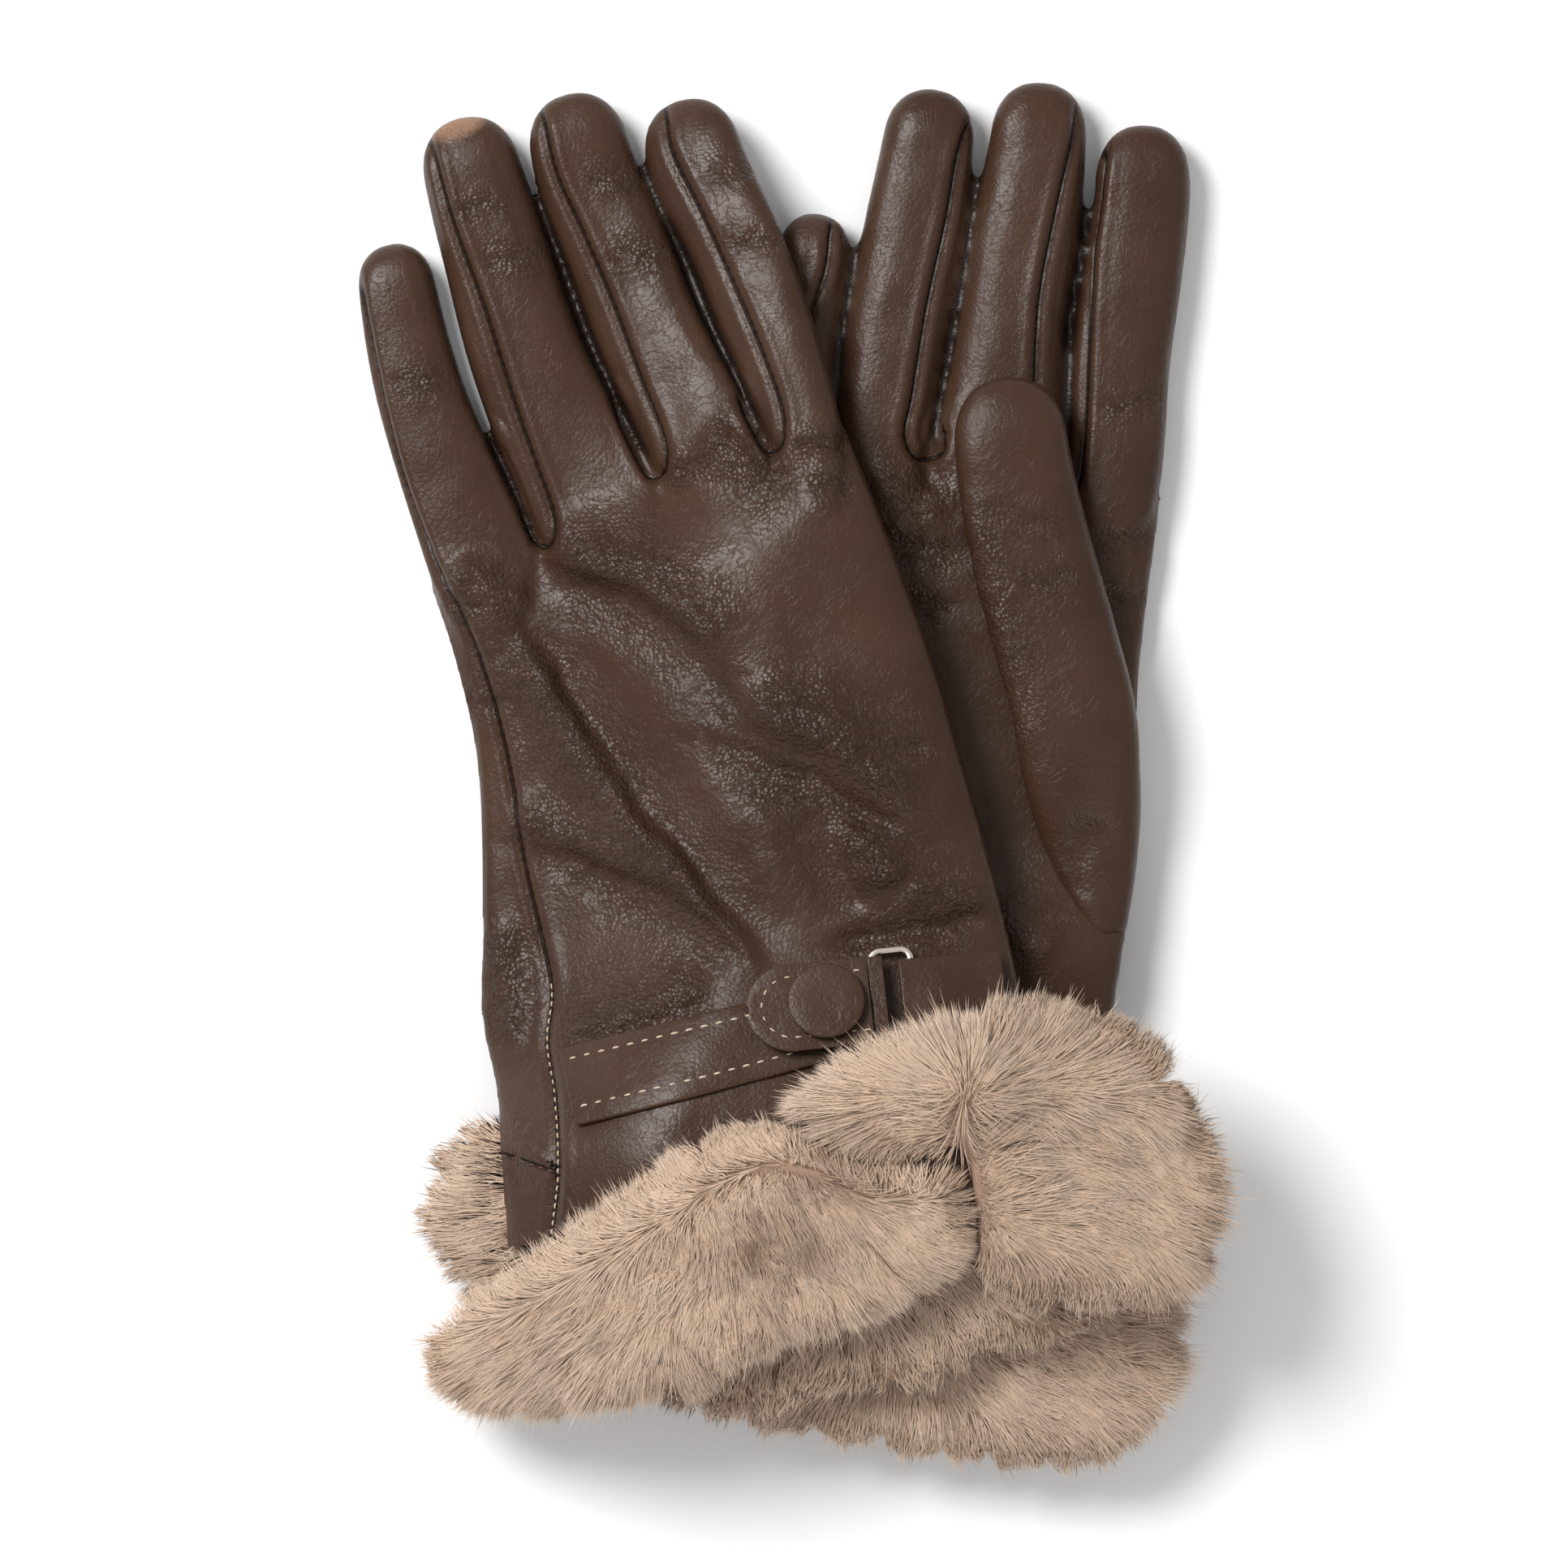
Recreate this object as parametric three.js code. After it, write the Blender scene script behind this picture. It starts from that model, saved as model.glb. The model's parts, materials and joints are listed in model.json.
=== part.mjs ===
// A pair of lined leather dress gloves with fur cuffs, lying one on the other.
// The right glove lies palm up on the table, the left glove lies back up across it.
// Millimetres, +Z up. X runs across the hands and Y towards the fingertips.
import * as THREE from "three";

// ---- Driving dimensions -------------------------------------------------------------------

const HAND_THICK = 10; // an empty hand, both leathers and the lining
const WRIST_THICK = 8; // at the cuff
const FINGER_THICK = 11.5; // fingers stand higher than the hand, on their side strips
const LEATHER = 1.1; // glove leather with its backing
const FINGER_WALL = 1.5; // leather with the lining bonded to it
const LINING = 1.0; // knitted hand lining
const GAP = 0.35; // between pieces that touch
const TRIM_GAP = 0.45; // between a trim and the curved leather below it
const FUR_THICK = 6.6; // pelt and flattened pile
const FUR_GAP = 0.8;
const TRIM_STACK = 6.9; // strap, snap, tab and button, one on the other
const THUMB_THICK = 10.5;
const FOLDED_THUMB_THICK = 7.2; // the left thumb is pressed flat under its palm
const STRAP_WIDTH = 14.8;
const STRAP_THICK = 1.0;
const TAB_WIDTH = 17;
const TAB_THICK = 1.3;
const BUTTON_RADIUS = 7.5;
const BUTTON_HEIGHT = 2.6;
const SNAP_RADIUS = 4.2;
const SNAP_HEIGHT = 1.0;
const KEEPER_WIDTH = 9;
const KEEPER_HEIGHT = 20.6;
const KEEPER_WIRE = 1.3;

const FINGERS = ["little", "ring", "middle", "index"];

// Plan of each glove. rim: the side edge, the forks and the other side edge, from the little
// finger to the index. stations: left and right edge of the hand from knuckles to cuff.
// fingers: [x, y, half width] at the middle joint, along the finger and at the tip.
const LEFT = {
  name: "left",
  backUp: true,
  rim: [[-70.5, 40], [-48.3, 46.3], [-25.5, 61], [-3.5, 66.5], [11.2, 70]],
  stations: [
    [[-66, 27], [23, 41]],
    [[-61.5, 8], [28.7, 22.7]],
    [[-60.2, -10], [34, 3]],
    [[-60, -30], [39, -17]],
    [[-60, -46], [43.5, -34]],
    [[-57, -60], [47, -48]],
    [[-56, -72], [49, -60]],
  ],
  cuff: [[-54.5, -91], [52, -80]],
  fingers: {
    little: [[-70, 71, 9.2], [-74.8, 88, 8.3], [-78.2, 107.2, 7.2]],
    ring: [[-50, 82, 11.4], [-57.2, 105, 10.4], [-61.5, 120, 9.8], [-64.2, 132.2, 9]],
    middle: [[-26.2, 88, 10.2], [-32.8, 105, 10.1], [-39.6, 122, 10], [-43, 136.9, 9.3]],
    index: [[-3.5, 90, 8.3], [-10.5, 108, 9], [-17.2, 122, 9.6], [-20.8, 135.6, 9]],
  },
  thumbHoleRow: 3,
  button: [7.8, -43],
  strapTilt: 14.7,
  tabTilt: 6,
  strapLength: 53,
  strapEndLength: 20,
};

const RIGHT = {
  name: "right",
  backUp: false,
  rim: [[-9, 54], [9.5, 60], [28, 64], [55.5, 62], [73.8, 57]],
  stations: [
    [[-14, 44], [70.8, 36]],
    [[-17.5, 24], [69, 16]],
    [[-18.5, 2], [69.6, -6]],
    [[-19.5, -18], [67, -25]],
    [[-20.3, -30], [65.8, -36]],
    [[-21.5, -39], [64.4, -45]],
    [[-24, -56], [63, -62]],
    [[-27, -74], [63, -80]],
  ],
  cuff: [[-30, -95], [62, -101]],
  fingers: {
    little: [[1.6, 83, 8], [4.2, 98, 7.6], [6.8, 113.2, 7.2]],
    ring: [[21.3, 87, 9.8], [25, 107, 10.1], [27.6, 124, 9], [29.3, 137.8, 8.2]],
    middle: [[44.1, 88, 10.2], [47, 108, 10.4], [49.6, 126, 9.4], [50.5, 139.2, 8.6]],
    index: [[66.2, 84, 9.4], [68.3, 100, 9.6], [70.3, 116, 9.3], [70.5, 130.8, 8.8]],
  },
  thumbHoleRow: 2,
  button: [31.5, -46],
  strapTilt: 0,
  tabTilt: -8,
  strapLength: 45,
  strapEndLength: 12,
};

// Upper and lower edge of each fur strip, from the little-finger side across.
const FUR = {
  left_fur_back: {
    side: 1,
    upper: [[-71, -107], [-60, -99], [-50, -93], [-42, -87], [-33, -79.5], [-24, -73.5], [-14, -67],
      [-5, -63], [4, -65.5], [13, -71.5], [23, -73], [32.5, -73.5]],
    lower: [[-68, -117], [-62, -123], [-52, -125], [-42, -124], [-32, -122], [-22, -119.5],
      [-12, -116], [-2, -111], [8, -108], [18, -104], [27, -99.5], [34.5, -92]],
  },
  left_fur_side: {
    side: 1,
    overTrims: true,
    upper: [[3, -60.5], [10, -55], [17.5, -52.6], [25.5, -51.8], [32, -46], [44, -43.5], [53, -43.5],
      [62, -45.5], [70, -52], [77, -62], [82, -75]],
    lower: [[5, -62], [14, -69], [23, -70.5], [34, -71], [36.5, -82], [38, -92], [46, -96.5],
      [55, -97.5], [64, -97.5], [73, -96.5], [80.5, -89.5]],
  },
  left_fur_palm: {
    side: -1,
    upper: [[-60, -66], [-50, -66], [-40, -66], [-30, -66], [-20, -66], [-10, -66], [0, -66],
      [10, -66], [20, -66], [30, -66], [40, -66], [50, -66], [60, -66], [70, -72]],
    lower: [[-73, -88], [-66, -98], [-54, -108], [-42, -114], [-30, -119], [-18, -123], [-8, -123.5],
      [4, -121], [14, -118.5], [26, -118], [38, -111], [50, -109.5], [62, -106], [71, -98]],
  },
};
const REAR_FUR = {
  right_fur_palm: {
    side: 1,
    upper: [[-17, -78], [-8, -78], [1, -78], [10, -78], [20, -78], [30, -78], [40, -78], [50, -78],
      [60, -80], [70, -90], [75, -102]],
    lower: [[-17, -122], [-8, -126], [1, -128], [11, -129.5], [21, -131], [31, -133], [41, -134.5],
      [51, -135.5], [60, -134], [69, -127.5], [75.5, -116]],
  },
  right_fur_back: {
    side: -1,
    upper: [[-33, -62], [-23, -62], [-13, -62], [-3, -62], [7, -62], [17, -62], [27, -62], [37, -62],
      [47, -62], [57, -62], [66, -66]],
    lower: [[-35, -108], [-26, -114], [-16, -118], [-6, -121], [5, -124], [16, -126], [27, -128],
      [38, -129], [49, -129], [60, -126], [68, -116]],
  },
  right_fur_side: {
    side: -1,
    upper: [[67, -67.5], [71, -76]],
    lower: [[69.5, -115], [75, -106]],
  },
};

// The knuckle end of each thumb sits over a hole in the palm leather.
const RIGHT_THUMB = {
  name: "right_thumb",
  into: -1, // its mouth faces down, into the palm
  thick: THUMB_THICK,
  mouth: { x: 58.5, y: 3, z: 10.5 },
  path: [[57.2, 14, 11.6], [53.2, 28, 11.9], [48.6, 45, 11.8], [44.8, 62, 11.3], [43, 80.4, 10.2]],
  floor: [10.6, 10.6, 10.7, 12, 12.4],
};
const LEFT_THUMB = {
  name: "left_thumb",
  into: 1,
  thick: FOLDED_THUMB_THICK,
  mouth: { x: 23, y: -4, z: 18.3 },
  path: [[20.5, 6, 10.6], [17, 15, 11], [12.8, 25, 10.8], [9, 36, 10.2], [5.8, 46.5, 9.4]],
  floor: [10.4, 10.4, 10.6, 10.95, 11.1],
};

const COLOURS = {
  leather: [0x5a483c, 0.5, 0],
  lining: [0x3a2f28, 0.95, 0],
  fur: [0xc3aa95, 0.95, 0],
  metal: [0xe3d6c6, 0.25, 1],
};

// ---- How the pair drapes ------------------------------------------------------------------

// 0 before start, 1 after end, with a cosine rise between.
function rise(value, start, end) {
  const t = THREE.MathUtils.clamp((value - start) / (end - start), 0, 1);
  return (1 - Math.cos(Math.PI * t)) / 2;
}

function between(value, knots) {
  for (let k = 1; k < knots.length; k++) {
    const [x0, y0] = knots[k - 1];
    const [x1, y1] = knots[k];
    if (value <= x1) return THREE.MathUtils.lerp(y0, y1, rise(value, x0, x1));
  }
  return knots.at(-1)[1];
}

const REAR_EDGE = [[-75, -38], [-20, -19], [40, -19], [62, -6], [110, -2], [140, 9]];
const OVER_REAR = [[-74, 30.8], [-22, 19.2], [50, 18.9], [78, 14], [140, 14]];
const WRIST_LIFT = 7.5;
const RAMP = [-38, 18];

// Height of the underside of each glove's leather above the table.
const floorOf = {
  left(x, y) {
    const edge = between(y, REAR_EDGE);
    const low = WRIST_LIFT * rise(-y, 50, 76);
    return low + (between(y, OVER_REAR) - low) * rise(x, edge + RAMP[0], edge + RAMP[1]);
  },
  right(x, y) {
    return WRIST_LIFT * rise(-y, 8, 36);
  },
};

function handThick(y) {
  return THREE.MathUtils.lerp(HAND_THICK, WRIST_THICK, rise(-y, 10, 60));
}

// A point h off the leather's top (side 1) or underside (side -1), with the normal there.
function skin(glove, side, x, y, h) {
  const z = (a, b) => floorOf[glove](a, b) + (side > 0 ? handThick(b) : 0);
  const d = 0.5;
  const normal = new THREE.Vector3(
    (z(x - d, y) - z(x + d, y)) / (2 * d), (z(x, y - d) - z(x, y + d)) / (2 * d), 1,
  ).normalize().multiplyScalar(side);
  return { point: new THREE.Vector3(x, y, z(x, y)).addScaledVector(normal, h), normal };
}

// ---- Walls of leather ---------------------------------------------------------------------

const group = new THREE.Group();

function addMesh(name, geometry, finish) {
  const [color, roughness, metalness] = COLOURS[finish];
  const mesh = new THREE.Mesh(
    geometry, new THREE.MeshStandardMaterial({ color, roughness, metalness }),
  );
  mesh.name = name;
  group.add(mesh);
  return mesh;
}

// A closed wall over a grid of cells: point(row, column, face) gives both faces, has(row, column)
// says which cells exist, and wraps joins the last column to the first.
function wall({ rows, columns, wraps = false, point, has = () => true }) {
  const count = wraps ? columns : columns - 1;
  const exists = (r, c) => {
    if (r < 0 || r >= rows - 1) return false;
    if (!wraps && (c < 0 || c >= count)) return false;
    return has(r, (c + count) % count);
  };
  const cache = new Map();
  const at = (r, c, face) => {
    const key = [r, c % columns, face].join();
    if (!cache.has(key)) cache.set(key, point(r, c % columns, face));
    return cache.get(key);
  };
  const out = [];
  const triangle = (a, b, c) => {
    const flat = a.distanceTo(b) < 1e-4 || b.distanceTo(c) < 1e-4 || c.distanceTo(a) < 1e-4;
    if (!flat) out.push(a, b, c);
  };
  const quad = (a, b, c, d) => {
    triangle(a, b, c);
    triangle(a, c, d);
  };
  for (let r = 0; r < rows - 1; r++) {
    for (let c = 0; c < count; c++) {
      if (!exists(r, c)) continue;
      quad(at(r, c, 0), at(r, c + 1, 0), at(r + 1, c + 1, 0), at(r + 1, c, 0));
      quad(at(r, c, 1), at(r + 1, c, 1), at(r + 1, c + 1, 1), at(r, c + 1, 1));
      if (!exists(r - 1, c)) quad(at(r, c, 0), at(r, c, 1), at(r, c + 1, 1), at(r, c + 1, 0));
      if (!exists(r + 1, c)) {
        quad(at(r + 1, c + 1, 0), at(r + 1, c + 1, 1), at(r + 1, c, 1), at(r + 1, c, 0));
      }
      if (!exists(r, c - 1)) quad(at(r + 1, c, 0), at(r + 1, c, 1), at(r, c, 1), at(r, c, 0));
      if (!exists(r, c + 1)) {
        quad(at(r, c + 1, 0), at(r, c + 1, 1), at(r + 1, c + 1, 1), at(r + 1, c + 1, 0));
      }
    }
  }
  let volume = 0;
  for (let i = 0; i < out.length; i += 3) {
    volume += out[i].dot(new THREE.Vector3().crossVectors(out[i + 1], out[i + 2]));
  }
  if (volume < 0) {
    for (let i = 0; i < out.length; i += 3) [out[i + 1], out[i + 2]] = [out[i + 2], out[i + 1]];
  }
  return new THREE.BufferGeometry().setFromPoints(out);
}

const lerp2 = (a, b, t) => [a[0] + (b[0] - a[0]) * t, a[1] + (b[1] - a[1]) * t];
const round = (value, power) => Math.sign(value) * Math.abs(value) ** power;
const SQUARE = 2 / 2.6; // superellipse power of a glove finger's section

// ---- Hand ---------------------------------------------------------------------------------

const ACROSS = [0, 0.12, 0.35, 0.65, 1, 1.35, 1.65, 2, 2.35, 2.65, 3, 3.2, 3.75, 3.9, 4];
const THUMB_HOLE_COLUMN = ACROSS.indexOf(3.2);
const FORK_HALF = 2.3; // half height left between the walls at a fork
const EDGE_HALF = 1.4;
const PINCH = [1, 0.2, 0]; // how far each row from the knuckles follows the fingers

// Plan point across the hand, u from 0 at the little finger's side to 4, on a row of the hand.
function handPlan(glove, row, u) {
  if (row > 0) return lerp2(...glove.stations[row - 1], u / 4);
  const k = Math.min(3, Math.floor(u));
  return lerp2(glove.rim[k], glove.rim[k + 1], u - k);
}

function handPoint(glove, row, u, sign, inset) {
  const [x, y] = handPlan(glove, row, u);
  const pinch = PINCH[Math.min(row, PINCH.length - 1)];
  const across = Math.abs(u / 2 - 1);
  const frac = Math.abs(2 * (u - Math.min(3, Math.floor(u))) - 1);
  const thick = handThick(y);
  const pad = Math.max(EDGE_HALF, thick / 2 * Math.min(1, 1.06 * (1 - across ** 6) ** 0.385));
  const finger = Math.max(
    u === 0 || u === 4 ? EDGE_HALF : FORK_HALF, FINGER_THICK / 2 * (1 - frac ** 2.6) ** 0.385,
  );
  const half = THREE.MathUtils.lerp(pad, finger, pinch);
  const middle = THREE.MathUtils.lerp(thick, FINGER_THICK, pinch) / 2;
  return new THREE.Vector3(x, y, floorOf[glove.name](x, y) + middle + sign * (half - inset));
}

// The columns of a lower panel run backwards, so that its facets match the lining's.
function addPanel(glove, name, sign, hole) {
  const across = sign > 0 ? ACROSS : ACROSS.toReversed();
  const holeColumn = sign > 0 ? THUMB_HOLE_COLUMN : across.length - 2 - THUMB_HOLE_COLUMN;
  const geometry = wall({
    rows: glove.stations.length + 1,
    columns: across.length,
    point: (r, c, face) => handPoint(glove, r, across[c], sign, face * LEATHER),
    has: (r, c) => !(hole && r === glove.thumbHoleRow && c === holeColumn),
  });
  addMesh(name, geometry, "leather");
}

// The lining is a knitted tube inside the leather, open at the cuff and at the fingers.
function addLining(glove) {
  const across = ACROSS.filter((u) => u > 0.05 && u < 3.95);
  const firstRow = 1;
  addMesh(glove.name + "_hand_lining", wall({
    rows: glove.stations.length - firstRow,
    columns: across.length * 2,
    wraps: true,
    point(r, c, face) {
      const top = c < across.length;
      const i = top ? c : 2 * across.length - 1 - c;
      const u = 2 + (across[i] - 2) * (1 - face * 0.03);
      return handPoint(glove, r + firstRow, u, top ? 1 : -1, LEATHER + GAP + face * LINING);
    },
  }), "lining");
}

// The cuff band carries on from the hand's last seam and holds the fur.
function addCuff(glove) {
  const [first, last] = [glove.stations.at(-1), glove.cuff];
  const seam = 0.04;
  const count = ACROSS.length;
  addMesh(glove.name + "_cuff_band", wall({
    rows: 3,
    columns: count * 2,
    wraps: true,
    point(r, c, face) {
      const top = c < count;
      const u = ACROSS[top ? c : 2 * count - 1 - c];
      const t = seam + (1 - seam) * r / 2;
      const narrow = 2 + (u - 2) * (1 - face * 0.022);
      const [x, y] = lerp2(lerp2(first[0], last[0], t), lerp2(first[1], last[1], t), narrow / 4);
      const pad = Math.min(1, 1.06 * (1 - Math.abs(u / 2 - 1) ** 6) ** 0.385);
      const half = Math.max(EDGE_HALF + LEATHER, WRIST_THICK / 2 * pad) - face * LEATHER;
      const z = floorOf[glove.name](x, y) + WRIST_THICK / 2 + (top ? half : -half);
      return new THREE.Vector3(x, y, z);
    },
  }), "leather");
}

// ---- Fingers ------------------------------------------------------------------------------

// Columns round a finger in degrees, with a narrow gap either side of each side strip.
const SEAM = 36;
const SLIT = 3;
const AROUND = [
  SEAM, 63, 90, 117, 180 - SEAM,
  180 - SEAM + SLIT, 180, 180 + SEAM - SLIT,
  180 + SEAM, 243, 270, 297, 360 - SEAM,
  360 - SEAM + SLIT, 360, 360 + SEAM - SLIT,
];
const SLITS = [4, 7, 12, 15];
const STRIPS = { outer: [5, 6], inner: [13, 14] }; // towards the little finger, and the index

function ringPoint(glove, centre, side, along, half, degrees, inset, squeeze, reach) {
  const angle = THREE.MathUtils.degToRad(degrees);
  const across = (half - inset) * squeeze * round(Math.cos(angle), SQUARE);
  const x = centre[0] + side[0] * across + along[0] * reach;
  const y = centre[1] + side[1] * across + along[1] * reach;
  const up = (FINGER_THICK / 2 - inset) * squeeze * round(Math.sin(angle), SQUARE);
  return new THREE.Vector3(x, y, floorOf[glove.name](x, y) + FINGER_THICK / 2 + up);
}

// The centre line of a finger past its middle joint, with the half width in z.
function fingerLine(points) {
  return new THREE.CatmullRomCurve3(points.map((p) => new THREE.Vector3(...p)));
}

function frameAt(line, t) {
  const p = line.getPoint(t);
  const d = line.getTangent(t);
  const length = Math.hypot(d.x, d.y);
  const along = [d.x / length, d.y / length];
  return { centre: [p.x, p.y], half: p.z, along, side: [along[1], -along[0]] };
}

function addFingerBase(glove, k) {
  const name = FINGERS[k];
  const joint = frameAt(fingerLine(glove.fingers[name]), 0);
  const [a, b] = [glove.rim[k], glove.rim[k + 1]];
  const length = Math.hypot(b[0] - a[0], b[1] - a[1]);
  const side = [(b[0] - a[0]) / length, (b[1] - a[1]) / length];
  const rim = { centre: lerp2(a, b, 0.5), half: length / 2 - 0.5, along: [-side[1], side[0]], side };
  const columns = 12;
  addMesh(glove.name + "_" + name + "_finger_base", wall({
    rows: 2,
    columns,
    wraps: true,
    point(r, c, face) {
      const f = r === 0 ? rim : joint;
      const reach = r === 0 ? GAP : 0;
      const degrees = c * 360 / columns;
      return ringPoint(glove, f.centre, f.side, f.along, f.half, degrees, face * FINGER_WALL, 1, reach);
    },
  }), "leather");
}

// A finger past its middle joint: one leather strap over the back, round the tip and down the
// palm, with a side strip of leather let in on each side that faces another finger.
function addFinger(glove, name) {
  const line = fingerLine(glove.fingers[name]);
  const tip = frameAt(line, 1);
  const length = line.getLength();
  const roundLength = tip.half * 1.05;
  const dome = 1 - roundLength / length;
  const rows = [
    { t: 0, reach: GAP, angle: 0 },
    { t: dome * 0.33, reach: 0, angle: 0 },
    { t: dome * 0.66, reach: 0, angle: 0 },
    { t: dome - 3.4 / length, reach: 0, angle: 0 },
    { t: dome - 3 / length, reach: 0, angle: 0 },
    { t: dome, reach: 0, angle: 0 },
    { t: dome, reach: 0, angle: 38 },
    { t: dome, reach: 0, angle: 66 },
    { t: dome, reach: 0, angle: 90 },
  ];
  const stripEnd = 3;
  const point = (r, c, face) => {
    const f = frameAt(line, rows[r].t);
    const angle = THREE.MathUtils.degToRad(rows[r].angle);
    const inset = face * FINGER_WALL;
    const squeeze = rows[r].angle === 90 ? 0 : Math.cos(angle);
    const reach = rows[r].reach + Math.sin(angle) * (roundLength - inset);
    return ringPoint(glove, f.centre, f.side, f.along, f.half, AROUND[c], inset, squeeze, reach);
  };
  const strips = Object.entries(STRIPS).filter(([which]) => {
    return !(name === "little" && which === "outer") && !(name === "index" && which === "inner");
  });
  const cutOut = (c) => strips.some(([, cells]) => c >= cells[0] - 1 && c <= cells[1] + 1);
  const grid = { rows: rows.length, columns: AROUND.length, wraps: true, point };
  const nodeName = glove.name + "_" + name + "_finger";
  addMesh(nodeName, wall({ ...grid, has: (r, c) => r > stripEnd || !cutOut(c) }), "leather");
  for (const [which, cells] of strips) {
    const has = (r, c) => r < stripEnd && cells.includes(c) && !SLITS.includes(c);
    addMesh(glove.name + "_" + name + "_fourchette_" + which, wall({ ...grid, has }), "leather");
  }
}

// ---- Thumbs -------------------------------------------------------------------------------

// A thumb lies flat along the palm, then turns at its root to meet the hole in the palm.
function addThumb(thumb) {
  const half = thumb.thick / 2;
  const rings = thumb.path.map(([x, y, width], k) => {
    const before = thumb.path[Math.max(0, k - 1)];
    const after = thumb.path[Math.min(thumb.path.length - 1, k + 1)];
    const along = new THREE.Vector3(after[0] - before[0], after[1] - before[1], 0).normalize();
    const side = new THREE.Vector3(along.y, -along.x, 0);
    const up = new THREE.Vector3(0, 0, 1);
    return { centre: new THREE.Vector3(x, y, thumb.floor[k] + half), along, side, up, width, half };
  });
  const root = rings[0];
  const mouth = {
    centre: new THREE.Vector3(thumb.mouth.x, thumb.mouth.y, thumb.mouth.z),
    along: new THREE.Vector3(0, 0, -thumb.into),
    side: root.side,
    up: root.along.clone().multiplyScalar(thumb.into),
    width: root.width,
    half: half + 2.5,
  };
  const bend = {
    centre: mouth.centre.clone().lerp(root.centre, 0.42).setZ(root.centre.z),
    along: root.along.clone().add(mouth.along).normalize(),
    side: root.side,
    up: new THREE.Vector3(0, 0, 1).add(mouth.up).normalize(),
    width: root.width,
    half: half + 0.2,
  };
  bend.centre.z += thumb.into * -0.6;
  const last = rings.at(-1);
  const domeLength = last.width;
  const domed = [0, 35, 62, 90].map((angle) => ({ ...last, angle }));
  const all = [mouth, bend, ...rings.slice(0, -1), ...domed];
  const columns = 12;
  addMesh(thumb.name, wall({
    rows: all.length,
    columns,
    wraps: true,
    point(r, c, face) {
      const ring = all[r];
      const inset = face * FINGER_WALL;
      const angle = THREE.MathUtils.degToRad(ring.angle ?? 0);
      const squeeze = ring.angle === 90 ? 0 : Math.cos(angle);
      const turn = c * 2 * Math.PI / columns;
      const reach = ring.angle === undefined ? 0 : Math.sin(angle) * (domeLength - inset) - domeLength;
      return ring.centre.clone()
        .addScaledVector(ring.side, (ring.width - inset) * squeeze * round(Math.cos(turn), SQUARE))
        .addScaledVector(ring.up, (ring.half - inset) * squeeze * round(Math.sin(turn), SQUARE))
        .addScaledVector(ring.along, reach);
    },
  }), "leather");
}

// ---- Fur ----------------------------------------------------------------------------------

// Fur that lies over the strap and the keeper is raised off the leather there.
function addFur(glove, name, { side, upper, lower, overTrims = false }) {
  const rows = [0, 0.12, 0.4, 0.7, 0.92, 1];
  const plump = [0.45, 0.85, 1, 1, 0.85, 0.45];
  const ends = upper.length > 2 ? upper.length - 1 : 0;
  addMesh(name, wall({
    rows: rows.length,
    columns: upper.length,
    point(r, c, face) {
      const [x, y] = lerp2(upper[c], lower[c], rows[r]);
      const end = ends && (c === 0 || c === ends) ? 0.6 : 1;
      const raised = overTrims ? TRIM_STACK * rise(y, -67, -57) : 0;
      const high = FUR_GAP + raised + (face === 0 ? FUR_THICK * plump[r] * end : 0);
      return skin(glove, side, x, y, high).point;
    },
  }), "fur");
}

// ---- Strap, tab, button and keeper --------------------------------------------------------

// A point of a trim: a along it and b across it, from the button, h above the back leather.
function onBack(glove, tilt, a, b, h) {
  const turn = THREE.MathUtils.degToRad(tilt);
  const x = glove.button[0] + a * Math.cos(turn) - b * Math.sin(turn);
  const y = glove.button[1] + a * Math.sin(turn) + b * Math.cos(turn);
  return skin(glove.name, glove.backUp ? 1 : -1, x, y, h);
}

const strapBottom = TRIM_GAP;
const snapBottom = strapBottom + STRAP_THICK + GAP;
const tabBottom = snapBottom + SNAP_HEIGHT + GAP;
const buttonBottom = tabBottom + TAB_THICK + GAP;
const KEEPER_AT = 13.3; // from the button's centre to the ring's centre

// A flat strip from a0 to a1 along the trim, with its half width given by a function.
function addStrip(glove, name, tilt, stops, halfWidth, bottom, thick, shift = 0) {
  const across = [-1, -0.5, 0, 0.5, 1];
  addMesh(name, wall({
    rows: stops.length,
    columns: across.length,
    point(r, c, face) {
      const b = shift + across[c] * halfWidth(stops[r]);
      return onBack(glove, tilt, stops[r], b, bottom + face * thick).point;
    },
  }), "leather");
}

function addDisc(glove, name, profile, bottom, finish) {
  const { point, normal } = onBack(glove, 0, 0, 0, bottom);
  const mesh = addMesh(name, new THREE.LatheGeometry(profile, 20), finish);
  mesh.quaternion.setFromUnitVectors(new THREE.Vector3(0, 1, 0), normal);
  mesh.position.copy(point);
}

function discProfile(radius, height) {
  const edge = height * 0.45;
  return [
    new THREE.Vector2(0, 0),
    new THREE.Vector2(radius - 0.3, 0),
    new THREE.Vector2(radius, edge),
    new THREE.Vector2(radius * 0.86, height * 0.88),
    new THREE.Vector2(radius * 0.45, height),
    new THREE.Vector2(0, height * 0.94),
  ];
}

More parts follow.
